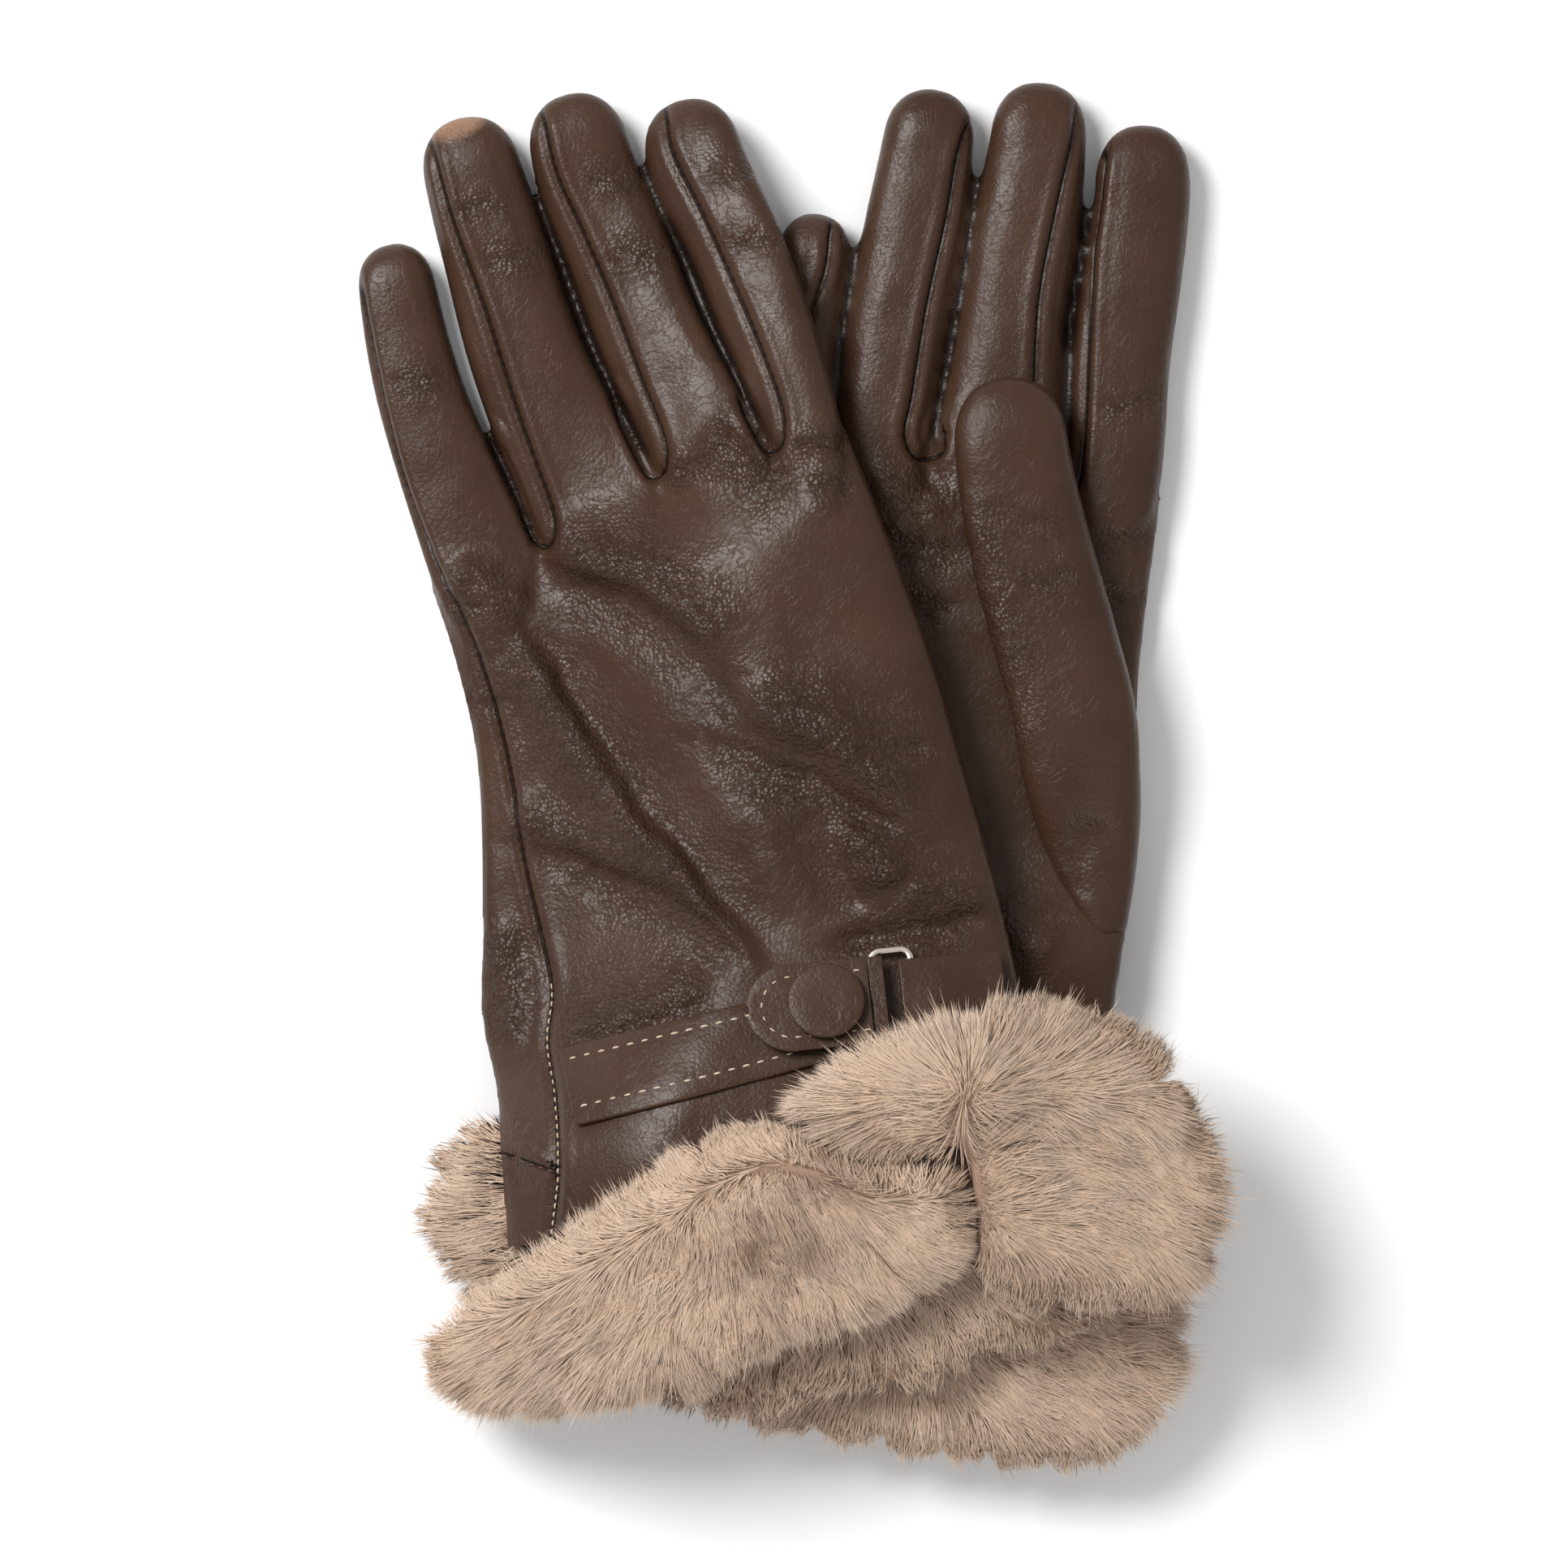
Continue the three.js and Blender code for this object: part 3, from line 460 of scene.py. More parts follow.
def shaped_leather(side, piece, folds, seams, calm=()):
    """Sinks the seams and raises the folds, then lays the skin over what is below it."""
    points, normals, faces = read_mesh(piece)
    plan = points[:, :2]
    up = rise(normals[:, 2], -0.05, 0.45)
    wander = np.column_stack([ripple(points, WANDER_SIZE, 5), ripple(points, WANDER_SIZE, 6)])
    wander *= WANDER
    lift = np.zeros(len(points))
    crumple = np.zeros(len(points))
    for line, height, left_width, right_width, crumpled in folds:
        signed, along, length = to_line(plan + wander, smooth_line(line, 28))
        width = np.where(signed > 0, left_width, right_width)
        ends = rise(along, -0.5, length * 0.22) * (1 - rise(along, length * 0.78, length + 0.5))
        strength = np.exp(-((signed / width) ** 2)) * (0.15 + 0.85 * ends)
        lift += height * (RIDGE_GAIN if height > 0 else CREASE_GAIN) * strength
        crumple = np.maximum(crumple, crumpled * np.exp(-((signed / (width + 2.5)) ** 2)) * ends)
    deepest = -CREASE_LIMIT - CREASE_EASE * np.tanh((-lift - CREASE_LIMIT) / CREASE_EASE)
    lift = np.where(lift < -CREASE_LIMIT, deepest, lift)
    for calm_line, half in calm:
        signed, _, _ = to_line(plan, smooth_line(calm_line, 12))
        lift *= rise(np.abs(signed), half, half + 5)
    lift += LOOSE * ripple(points, LOOSE_SIZE, 1) + UNEVEN * ripple(points, UNEVEN_SIZE, 2)
    lift += CRUMPLE_HIGH * crumple * ripple(points, CRUMPLE_SIZE, 4)
    seam = np.tile([-1.0, 0.0, 0.0], (len(points), 1))
    nearest = np.full(len(points), 1e9)
    groove = np.zeros(len(points))
    step = np.zeros(len(points))
    for line, low_side in seams:
        signed, along, length = to_line(plan, smooth_line(line, 60))
        distance = np.abs(signed)
        near = (distance < nearest) & (normals[:, 2] > -0.3)
        nearest[near] = distance[near]
        turn = np.pi * np.clip(signed / SEAM_REACH, -1, 1)
        seam[near] = np.column_stack([np.cos(turn), np.sin(turn), along])[near]
        ends = rise(along, 0, 5) * (1 - rise(along, length - 4, length))
        sunk = -SEAM_DEEP * np.exp(-((distance / SEAM_HALF) ** 2))
        lips = LIP_HIGH * np.exp(-((distance - LIP_AT) ** 2))
        groove = np.where(near, (sunk + lips) * (0.3 + 0.7 * ends), groove)
        below = rise(signed * low_side, -0.2, 1.2) * np.exp(-distance / SEAM_STEP_REACH)
        step = np.where(near, -SEAM_STEP * below * ends, step)
    points = points + normals * ((lift + groove + step) * up)[:, None]
    points[:, 2] += 0.15 * ripple(points, 25, 3) * (1 - up)
    points[:, 2] = np.maximum(points[:, 2], OFF_TABLE)
    points[:, 2] += table_to_glove(side, points[:, 0], points[:, 1])
    write_points(piece, points)
    worn = np.zeros(len(points))
    for x, y, reach in WORN[side]:
        worn += np.exp(-(((plan[:, 0] - x) / reach) ** 2 + ((plan[:, 1] - y) / (reach * 0.7)) ** 2))
    return {"seam": seam, "crumple": crumple * up, "worn": worn}


def wall_piece(name, points, normals, faces, fields, chosen, thick=LEATHER_THICK):
    """Cuts the chosen faces out of a skin as a piece of leather of its own, with a thickness."""
    faces = faces[chosen]
    used = np.unique(faces)
    number = np.zeros(len(points), int)
    number[used] = np.arange(len(used))
    quads = number[faces]
    outer, bent = points[used], normals[used]
    count = len(outer)
    pairs = np.stack([quads, np.roll(quads, -1, axis=1)], -1).reshape(-1, 2)
    key = np.sort(pairs, axis=1) @ [count, 1]
    _, first, uses = np.unique(key, return_index=True, return_counts=True)
    rim = pairs[first[uses == 1]]
    edge = np.column_stack([rim[:, 1], rim[:, 0], rim[:, 0] + count, rim[:, 1] + count])
    inner = outer - bent * thick
    everything = np.vstack([quads, quads[:, ::-1] + count, edge])
    piece = mesh_object(name, to_row(np.vstack([outer, inner])), everything)
    for label, values in fields.items():
        values = np.vstack([values[used]] * 2) if values.ndim > 1 else np.tile(values[used], 2)
        kind = "FLOAT_VECTOR" if values.ndim > 1 else "FLOAT"
        attribute = piece.data.attributes.new(label, kind, "POINT")
        attribute.data.foreach_set("vector" if values.ndim > 1 else "value", values.ravel())
    piece.data.shade_smooth()
    piece.data.normals_split_custom_set_from_vertices(np.vstack([bent, -bent]).tolist())
    return piece


def finger_of(cut, faces_at):
    """Which finger each face is past the fork of, or -1 in the hand."""
    best = np.full(len(faces_at), 1e9)
    owner = np.full(len(faces_at), -1)
    for k in range(4):
        line = finger_line(cut, k)
        signed, _, _ = to_line(faces_at, line[:, :2])
        gap = np.abs(signed) - line[:, 2].mean()
        a, b = np.array(cut["rim"][k]), np.array(cut["rim"][k + 1])
        side = (b - a) / np.linalg.norm(b - a)
        ahead = (faces_at - (a + b) / 2) @ np.array([-side[1], side[0]])
        near = gap < best
        best[near] = gap[near]
        owner[near] = np.where(ahead[near] > FORK_FREE, k, -1)
    return owner


def tucked_between(cut, plan):
    """From 0 to 1, how deep a point lies in the gap between two fingers; it sets the painted shade there.
    """
    deep = np.zeros(len(plan))
    for k in range(3):
        fork = np.array(cut["rim"][k + 1], float)
        gaps, ways = [], []
        for line in (finger_line(cut, k), finger_line(cut, k + 1)):
            signed, along, length = to_line(plan, line[:, :2])
            gaps.append(np.abs(signed) - np.interp(along / length, np.linspace(0, 1, 40), line[:, 2]))
            ways.append(line[-1, :2] - line[8, :2])
        way = ways[0] + ways[1]
        ahead = (plan - fork) @ way / np.linalg.norm(way)
        between_them = rise(np.minimum(*gaps), -1.0, 0.2) * (1 - rise(np.maximum(*gaps), 2.5, 4.5))
        deep = np.maximum(deep, between_them * rise(ahead, 1, 7))
    return deep


def blend_at_joint(piece):
    """Bakes the piece's placement into its points; the piece is put on no body."""
    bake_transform(piece)


leather_pieces = []
top_skins = {}
for side, cut in CUTS.items():
    volumes = [hand_rings(cut)]
    for k in range(4):
        strips = ((0, *SIDE_STRIP[side])[k], (*SIDE_STRIP[side], 0)[k])
        volumes.append(finger_rings(finger_line(cut, k), FINGER_THICK / 2, strips=strips))
    body = fused(volumes, VOXEL[side], 8)
    strap_line = [(-46, -62), (-20, -54), (8, -44), (44, -38)] if side == "left" else [(60, -60), (40, -60)]
    fields = shaped_leather(side, body, FOLDS[side], SEAMS[side], [(strap_line, 8.5)])
    points, normals, faces = read_mesh(body)
    # Painted shade: the leather's colour is darkened towards near black in the gaps between the fingers.
    fields["gap_shade"] = tucked_between(cut, points[:, :2])
    top_skins[side] = BVHTree.FromPolygons(points.tolist(), faces.tolist())
    middle = points[faces].mean(axis=1)[:, :2]
    owner = finger_of(cut, middle)
    a, b = (np.array(p, float) for p in cut["edges"][-1])
    cuff_normal = np.array([-(b - a)[1], (b - a)[0]]) / np.linalg.norm(b - a)
    to_cuff = (points[:, :2] - a) @ cuff_normal
    kept = ((middle - a) @ cuff_normal) > CUFF_TRIM
    rim_points = np.unique(faces[~kept])
    rim_points = rim_points[to_cuff[rim_points] > 0.2]
    points[rim_points, :2] -= np.outer(to_cuff[rim_points] - CUFF_TRIM, cuff_normal) * 0.8
    side_seam = smooth_line(SEAMS[side][0][0], 60)
    signed, _, _ = to_line(middle, side_seam)
    facing = normals[faces].mean(axis=1)[:, 2]
    if side == "left":
        back = (facing > -0.05) & (signed > 0)
    else:
        back = facing < 0
    in_cuff = ((middle - a) @ cuff_normal) < CUFF_BAND
    hand = kept & (owner < 0)
    names = {
        "back_leather": (hand & back & ~in_cuff,
                         ["back_panel"] + [f"{name}_finger_base" for name in FINGERS]),
        "palm_leather": (hand & ~back & ~in_cuff, ["palm_panel"]),
        "cuff_leather": (hand & in_cuff, ["cuff_band"]),
    }
    for label, (chosen, stands_for) in names.items():
        piece = wall_piece(f"{side}_{label}", points, normals, faces, fields, chosen)
        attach(piece, f"{side}_glove")
        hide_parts(*[f"{side}_{node}" for node in stands_for])
        leather_pieces.append(piece)
    for k, name in enumerate(FINGERS):
        piece = wall_piece(f"{side}_{name}_leather", points, normals, faces, fields, owner == k)
        strips = [s for s in ("outer", "inner") if f"{side}_{name}_fourchette_{s}" in frame["nodes"]]
        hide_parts(f"{side}_{name}_finger", *[f"{side}_{name}_fourchette_{s}" for s in strips])
        if f"{side}_{name}" in frame["bodies"]:
            blend_at_joint(piece)
        else:
            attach(piece, "right_glove")
        leather_pieces.append(piece)
    bpy.data.objects.remove(body)

# Thumbs: the right one lies along its palm, the left one is folded under its palm.
RIGHT_THUMB = [
    (63, -29, 4.0, 4.5, 3.6), (61.4, -18, 7.6, 8.4, 4.8), (59.6, -7, 10.4, 11.6, 5.2),
    (57.9, 4, 11.7, 14.2, 5.3), (56.9, 14, 11.9, 15.7, 5.4), (53.2, 28, 12.1, 15.9, 5.4),
    (48.6, 45, 12.0, 16.0, 5.4), (44.8, 62, 11.5, 17.1, 5.3), (43, 80.4, 10.4, 17.6, 5.1),
]
LEFT_THUMB = [
    (23.5, -6, 9.5, 21.5, 2.5), (22.6, -1, 10.4, 17.0, 3.4), (20.5, 6, 10.6, 14.0, 3.6),
    (17, 15, 11, 14.0, 3.6), (12.8, 25, 10.8, 14.0, 3.6), (9, 36, 10.2, 14.5, 3.6),
    (5.8, 46.5, 9.4, 14.7, 3.5),
]
THUMB_FOLDS = [
    ([(39, 55), (47, 52), (57, 53)], -0.35, 1.1, 1.1, 0.6),
    ([(42, 44), (50, 41), (58, 43)], -0.3, 1.1, 1.1, 0.6),
    ([(36, 62), (38, 48), (41, 32), (45, 14), (50, -2)], 0.5, 4.0, 4.0, 0.6),
    ([(60, -4), (57, -14), (58, -24)], -0.7, 3.0, 4.0, 0.3),
]


def thumb_rings(path, count=32):
    line = smooth_line(path, 40)
    rings = finger_rings(line[:, [0, 1, 2, 4]], 0.0, count)
    run = run_along(line)
    dome = line[-1][2] * TIP_DOME
    stops = np.r_[np.linspace(0, run[-1] - dome, TUBE_STOPS), [run[-1] - dome] * len(TIP_TURNS)]
    rings[:, :, 2] += np.interp(stops, run, line[:, 3])[:, None]
    return rings


for side, path, folds in (("right", RIGHT_THUMB, THUMB_FOLDS), ("left", LEFT_THUMB, [])):
    body = fused([thumb_rings(path)], 1.0, 4)
    if side == "right":
        fields = shaped_leather(side, body, folds, [])
    else:
        fields = {}
    points, normals, faces = read_mesh(body)
    piece = wall_piece(f"{side}_thumb_leather", points, normals, faces, fields, np.full(len(faces), True))
    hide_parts(f"{side}_thumb")
    if side == "right":
        start, end = to_row([(61.5, -20, 12), (57.2, 10, 15)])
        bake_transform(piece)
    else:
        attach(piece, "left_thumb")
    leather_pieces.append(piece)
    bpy.data.objects.remove(body)


# Brown nappa leather, drum dyed and lightly polished: fine pebbled grain that opens up where the
# leather is folded, a soft broken shine on the ridges, and painted shade in the seams and finger gaps.
def linear(hex_colour):
    parts = [int(hex_colour[k:k + 2], 16) / 255 for k in (1, 3, 5)]
    return tuple(c / 12.92 if c <= 0.04045 else ((c + 0.055) / 1.055) ** 2.4 for c in parts) + (1,)


def add_node(material, kind, settings=None, links=None):
    """One node, with its settings and its links: input name or number to an output socket."""
    node = material.node_tree.nodes.new(kind)
    for key, value in (settings or {}).items():
        if key in node.inputs.keys() or isinstance(key, int):
            node.inputs[key].default_value = value
        else:
            setattr(node, key, value)
    for key, socket in (links or {}).items():
        material.node_tree.links.new(socket, node.inputs[key])
    return node


def new_material(name):
    material = bpy.data.materials.new(name)
    material.use_nodes = True
    shader = material.node_tree.nodes["Principled BSDF"]
    return material, shader, material.node_tree.links


def math_node(material, operation, a, b=None):
    """Arithmetic on two sockets or numbers."""
    links = {k: v for k, v in enumerate((a, b)) if isinstance(v, bpy.types.NodeSocket)}
    values = {k: v for k, v in enumerate((a, b)) if v is not None and k not in links}
    return add_node(material, "ShaderNodeMath", {"operation": operation, **values}, links).outputs[0]


GRAIN = 0.85 * MM
FINE_GRAIN = 0.35 * MM
CREASE_SPACING = 5.0 * MM
STITCH_PITCH = 2.3


def nappa_leather(name, deep, mid, lit, rough):
    material, shader, links = new_material(name)
    place = add_node(material, "ShaderNodeTexCoord").outputs["Object"]
    crumple = add_node(material, "ShaderNodeAttribute", {"attribute_name": "crumple"}).outputs["Fac"]
    worn = add_node(material, "ShaderNodeAttribute", {"attribute_name": "worn"}).outputs["Fac"]
    seam = add_node(material, "ShaderNodeAttribute", {"attribute_name": "seam"}).outputs["Vector"]
    parts = add_node(material, "ShaderNodeSeparateXYZ", links={0: seam}).outputs

    patches = add_node(material, "ShaderNodeTexNoise", {"Scale": 1 / (22 * MM), "Detail": 4},
                       {"Vector": place}).outputs["Fac"]
    ramp = add_node(material, "ShaderNodeValToRGB", links={0: patches})
    ramp.color_ramp.elements[0].position, ramp.color_ramp.elements[1].position = 0.32, 0.70
    ramp.color_ramp.elements[0].color, ramp.color_ramp.elements[1].color = linear(mid), linear(lit)

    off_seam = math_node(material, "ABSOLUTE", parts[1])
    on_line = add_node(material, "ShaderNodeMapRange",
                       {"From Min": 0.10, "From Max": 0.48, "To Min": 1, "To Max": 0}, {0: off_seam})
    this_side = math_node(material, "GREATER_THAN", parts[0], 0.05)
    groove = math_node(material, "MULTIPLY", on_line.outputs[0], this_side)
    step = math_node(material, "FRACT", math_node(material, "DIVIDE", parts[2], STITCH_PITCH))
    hole = math_node(material, "LESS_THAN", math_node(material, "ABSOLUTE",
                     math_node(material, "SUBTRACT", step, 0.5)), 0.17)
    near_line = math_node(material, "MULTIPLY", math_node(material, "LESS_THAN", off_seam, 0.62),
                          this_side)
    holes = math_node(material, "MULTIPLY", hole, near_line)

    cells = add_node(material, "ShaderNodeTexVoronoi", {"Scale": 1 / GRAIN, "Randomness": 0.9},
                     {"Vector": place}).outputs["Distance"]
    warp = add_node(material, "ShaderNodeTexNoise", {"Scale": 1 / FINE_GRAIN, "Detail": 3},
                    {"Vector": place}).outputs["Fac"]
    creases = add_node(material, "ShaderNodeTexNoise",
                       {"Scale": 1 / CREASE_SPACING, "Detail": 5, "Distortion": 1.6},
                       {"Vector": place}).outputs["Fac"]
    line = math_node(material, "ABSOLUTE", math_node(material, "SUBTRACT", creases, 0.5))
    lines = add_node(material, "ShaderNodeMapRange",
                     {"From Min": 0.0, "From Max": 0.035, "To Min": 0, "To Max": 1}, {0: line})
    grain_depth = add_node(material, "ShaderNodeMapRange", {"To Min": 0.22, "To Max": 1.5}, {0: crumple})
    pebble = math_node(material, "MULTIPLY", math_node(material, "MULTIPLY", cells, -1.0),
                       grain_depth.outputs[0])
    crease_depth = add_node(material, "ShaderNodeMapRange", {"To Min": 0.15, "To Max": 1.1}, {0: crumple})
    creased = math_node(material, "MULTIPLY", lines.outputs[0], crease_depth.outputs[0])
    surface = math_node(material, "ADD", pebble, math_node(material, "MULTIPLY", creased, 0.8))
    surface = math_node(material, "ADD", surface, math_node(material, "MULTIPLY", warp, 0.22))
    surface = math_node(material, "SUBTRACT", surface, math_node(material, "MULTIPLY", groove, 1.6))
    surface = math_node(material, "SUBTRACT", surface, math_node(material, "MULTIPLY", holes, 1.2))
    bump = add_node(material, "ShaderNodeBump", {"Strength": 0.85, "Distance": 0.26 * MM},
                    {"Height": surface})
    links.new(bump.outputs[0], shader.inputs["Normal"])

    gap_shade = add_node(material, "ShaderNodeAttribute", {"attribute_name": "gap_shade"}).outputs["Fac"]
    # Painted shade: near-black colour along the sunk seam grooves, a little in the stitch holes, and in the
    # gaps between the fingers.
    painted_shade = math_node(material, "ADD", groove, math_node(material, "MULTIPLY", holes, 0.4))
    painted_shade = math_node(material, "MINIMUM", math_node(material, "MAXIMUM", painted_shade, gap_shade), 1.0)
    in_grain = add_node(material, "ShaderNodeMapRange",
                        {"From Min": 0.25, "From Max": 0.75, "To Min": 0, "To Max": 0.30}, {0: cells})
    grained = add_node(material, "ShaderNodeMix", {"data_type": "RGBA", 7: linear(deep)},
                       {0: math_node(material, "MULTIPLY", in_grain.outputs[0],
                                     grain_depth.outputs[0]), 6: ramp.outputs[0]})
    rubbed = add_node(material, "ShaderNodeMapRange",
                      {"From Min": 0.42, "From Max": 0.95, "To Min": 0, "To Max": 0.75},
                      {0: math_node(material, "MULTIPLY", worn, math_node(material, "ADD", warp, 0.35))})
    scuffed = add_node(material, "ShaderNodeMix", {"data_type": "RGBA", 7: linear("#9A7862")},
                       {0: rubbed.outputs[0], 6: grained.outputs[2]})
    colour = add_node(material, "ShaderNodeMix", {"data_type": "RGBA", 7: linear("#140C08")},
                      {0: math_node(material, "MULTIPLY", painted_shade, 0.9), 6: scuffed.outputs[2]})
    links.new(colour.outputs[2], shader.inputs["Base Color"])
    polish = add_node(material, "ShaderNodeTexNoise", {"Scale": 1 / (9 * MM), "Detail": 3},
                      {"Vector": place}).outputs["Fac"]
    gloss = add_node(material, "ShaderNodeMapRange",
                     {"From Min": 0.3, "From Max": 0.7, "To Min": rough - 0.07, "To Max": rough + 0.07},
                     {0: polish})
    links.new(gloss.outputs[0], shader.inputs["Roughness"])
    shader.inputs["IOR"].default_value = 1.5
    shader.inputs["Specular IOR Level"].default_value = 0.25
    return material


leather = nappa_leather("nappa_leather_drum_dyed", "#150D08", "#3A261B", "#453023", 0.33)
for piece in leather_pieces:
    piece.data.materials.append(leather)

# ---- Lining ---------------------------------------------------------------------------------
# A fine knitted tube inside each hand, open at both ends, from below the knuckles to the cuff.
# It follows the hand's flat pillow shape, a little way inside the leather.
def knit(name, colour, shade):
    """Knitted acrylic: dull all over, with soft ribs and no shine."""
    material, shader, links = new_material(name)
    place = add_node(material, "ShaderNodeTexCoord").outputs["Object"]
    wave = add_node(material, "ShaderNodeTexWave",
                    {"Scale": 1 / (2.2 * MM), "Distortion": 3, "Detail": 2, "Detail Scale": 4},
                    {"Vector": place}).outputs["Fac"]
    ramp = add_node(material, "ShaderNodeMix", {"data_type": "RGBA", 6: linear(shade), 7: linear(colour)},
                    {0: wave})
    links.new(ramp.outputs[2], shader.inputs["Base Color"])
    bump = add_node(material, "ShaderNodeBump", {"Strength": 0.6, "Distance": 0.3 * MM}, {"Height": wave})
    links.new(bump.outputs[0], shader.inputs["Normal"])
    shader.inputs["Roughness"].default_value = 0.95
    return material


knitted = knit("knitted_acrylic_lining", "#4A3C32", "#2C231D")
LINING_THICK = 0.9
for side, cut in CUTS.items():
    rings = hand_rings(cut, inset=3.3)[8:]
    rings[:, :, 2] += table_to_glove(side, rings[:, :, 0], rings[:, :, 1])
    count = rings.shape[1]
    faces = tube_faces(len(rings), count)[:-2]
    piece = mesh_object(f"{side}_lining", to_row(rings.reshape(-1, 3)), faces)
    wall = piece.modifiers.new("wall", "SOLIDIFY")
    wall.thickness = LINING_THICK * MM
    wall.offset = -1
    apply_modifiers(piece)
    piece.data.shade_smooth()
    piece.data.materials.append(knitted)
    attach(piece, f"{side}_glove")
    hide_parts(f"{side}_hand_lining")

# ---- Wrist strap, tab and strap end ---------------------------------------------------------
# Doubled leather with turned edges. The strap is sewn down along both edges; the tab buttons
# over it and hinges beside the metal keeper; the strap end comes out of the keeper.
TRIMS = {
    "left": {"button": (7.8, -43), "strap_tilt": 14.7, "tab_tilt": 6, "strap": 53, "end": 20,
             "face": 1, "shift": -2.6},
    "right": {"button": RIGHT_BUTTON, "strap_tilt": 0, "tab_tilt": -8, "strap": 45, "end": 12,
              "face": -1, "shift": 0},
}
STRAP_WIDTH, STRAP_THICK = 14.8, 1.0
TAB_WIDTH, TAB_THICK = 17.0, 1.3
TRIM_GAP, GAP, SNAP_HEIGHT = 0.45, 0.35, 1.0
SNAP_BOTTOM = TRIM_GAP + STRAP_THICK + GAP
TAB_BOTTOM = SNAP_BOTTOM + SNAP_HEIGHT + GAP
BUTTON_BOTTOM = TAB_BOTTOM + TAB_THICK + GAP
CROWN, UNEVEN_TRIM, ROLLED_EDGE = 0.28, 0.16, 0.38
KEEPER_AT = 13.3
ROUND_START = 6.6


def on_glove(side, tilt, a, b, h):
    """A point of a trim: a along it, b across it and h off the leather, with the normal."""
    trim = TRIMS[side]
    turn = math.radians(tilt)
    a, b, h = np.broadcast_arrays(*(np.asarray(v, float) for v in (a, b, h)))
    x = trim["button"][0] + a * math.cos(turn) - b * math.sin(turn)
    y = trim["button"][1] + a * math.sin(turn) + b * math.cos(turn)

    def skin(px, py):
        return table_to_glove(side, px, py) + (hand_thick(py) if trim["face"] > 0 else 0)

    d = 0.5
    slope_x = (skin(x - d, y) - skin(x + d, y)) / (2 * d)
    slope_y = (skin(x, y - d) - skin(x, y + d)) / (2 * d)
    normal = np.stack([slope_x, slope_y, np.ones_like(x)], -1)
    normal *= trim["face"] / np.linalg.norm(normal, axis=-1, keepdims=True)
    point = np.stack([x, y, skin(x, y)], -1) + normal * h[..., None]
    return point, normal


def strip(name, side, tilt, start, end, half_width, bottom, thick, shift=0.0, columns=60):
    """A flat strap of doubled leather: crowned between its stitch lines, with rolled edges."""
    across = 18
    bpy.ops.mesh.primitive_grid_add(x_subdivisions=columns, y_subdivisions=across, size=2)
    piece = bpy.context.object
    piece.name = piece.data.name = name
    grid = np.array([v.co for v in piece.data.vertices])
    a = start + (end - start) * (grid[:, 0] + 1) / 2
    b = shift + grid[:, 1] * half_width(a)
    wave = UNEVEN_TRIM * np.array([noise.noise(Vector((p / 6, q / 6, 3.0))) for p, q in zip(a, b)])
    crown = CROWN * np.clip(1 - grid[:, 1] ** 4, 0, 1)
    level = bottom(a) if callable(bottom) else bottom
    points, _ = on_glove(side, tilt, a, b, level + wave + crown)
    write_points(piece, to_row(points))
    wall = piece.modifiers.new("wall", "SOLIDIFY")
    wall.thickness = thick * MM
    wall.offset = TRIMS[side]["face"]
    rolled = piece.modifiers.new("rolled", "BEVEL")
    rolled.width = ROLLED_EDGE * MM
    rolled.segments = 3
    rolled.limit_method = "ANGLE"
    apply_modifiers(piece)
    piece.data.shade_smooth()
    piece.data.materials.append(leather)
    return piece


def over_keeper(a):
    """The strap end comes up round the bar of the keeper, and lies down again past it."""
    over = TAB_BOTTOM + 0.05
    return TRIM_GAP + (over - TRIM_GAP) * (1 - rise(a, KEEPER_AT + 5, KEEPER_AT + 22))


def tab_half(a):
    t = np.clip((-a - ROUND_START) / (TAB_WIDTH / 2), 0, 0.985)
    return TAB_WIDTH / 2 * np.sqrt(1 - t**2)


for side, trim in TRIMS.items():
    glove = f"{side}_glove"
    start = 0.6 - trim["strap"]
    strap = strip(f"{side}_strap_leather", side, trim["strap_tilt"], start, 8.5,
                  lambda a: STRAP_WIDTH / 2 + 0 * a, TRIM_GAP - 0.3, STRAP_THICK, trim["shift"])
    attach(strap, glove)
    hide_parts(f"{side}_strap")
    end_start = KEEPER_AT + 1.4
    end = strip(f"{side}_strap_end_leather", side, trim["tab_tilt"], end_start,
                end_start + trim["end"], lambda a: STRAP_WIDTH / 2 + 0 * a, over_keeper, STRAP_THICK)
    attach(end, glove)
    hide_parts(f"{side}_strap_end")
    tab = strip(f"{side}_tab_leather", side, trim["tab_tilt"], -ROUND_START - TAB_WIDTH / 2 * 0.985,
                KEEPER_AT - 4.7, tab_half, TAB_BOTTOM, TAB_THICK, columns=90)
    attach(tab, f"{side}_tab")
    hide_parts(f"{side}_tab")
    loop = strip(f"{side}_keeper_loop", side, trim["tab_tilt"], KEEPER_AT - 4.3, KEEPER_AT - 1.6,
                 lambda a: TAB_WIDTH / 2 + 0 * a, TAB_BOTTOM + 0.05, STRAP_THICK, columns=12)
    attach(loop, glove)

# ---- Covered buttons and snap studs ---------------------------------------------------------
# A domed button blank covered in the same leather, with a faint dent from the snap below it.
# The stud it closes on is plated, and stays on the glove.
BUTTON_RADIUS, BUTTON_HEIGHT, SNAP_RADIUS = 7.5, 2.6, 4.2


def stand_on(piece, side, tilt, a, h):
    """Stands a piece made at the origin on the leather, and leaves its object unturned."""
    point, normal = on_glove(side, tilt, a, 0, h)
    place = Vector(normal).to_track_quat("Z", "Y").to_matrix().to_4x4()
    place.translation = to_row(point)
    piece.data.transform(place)


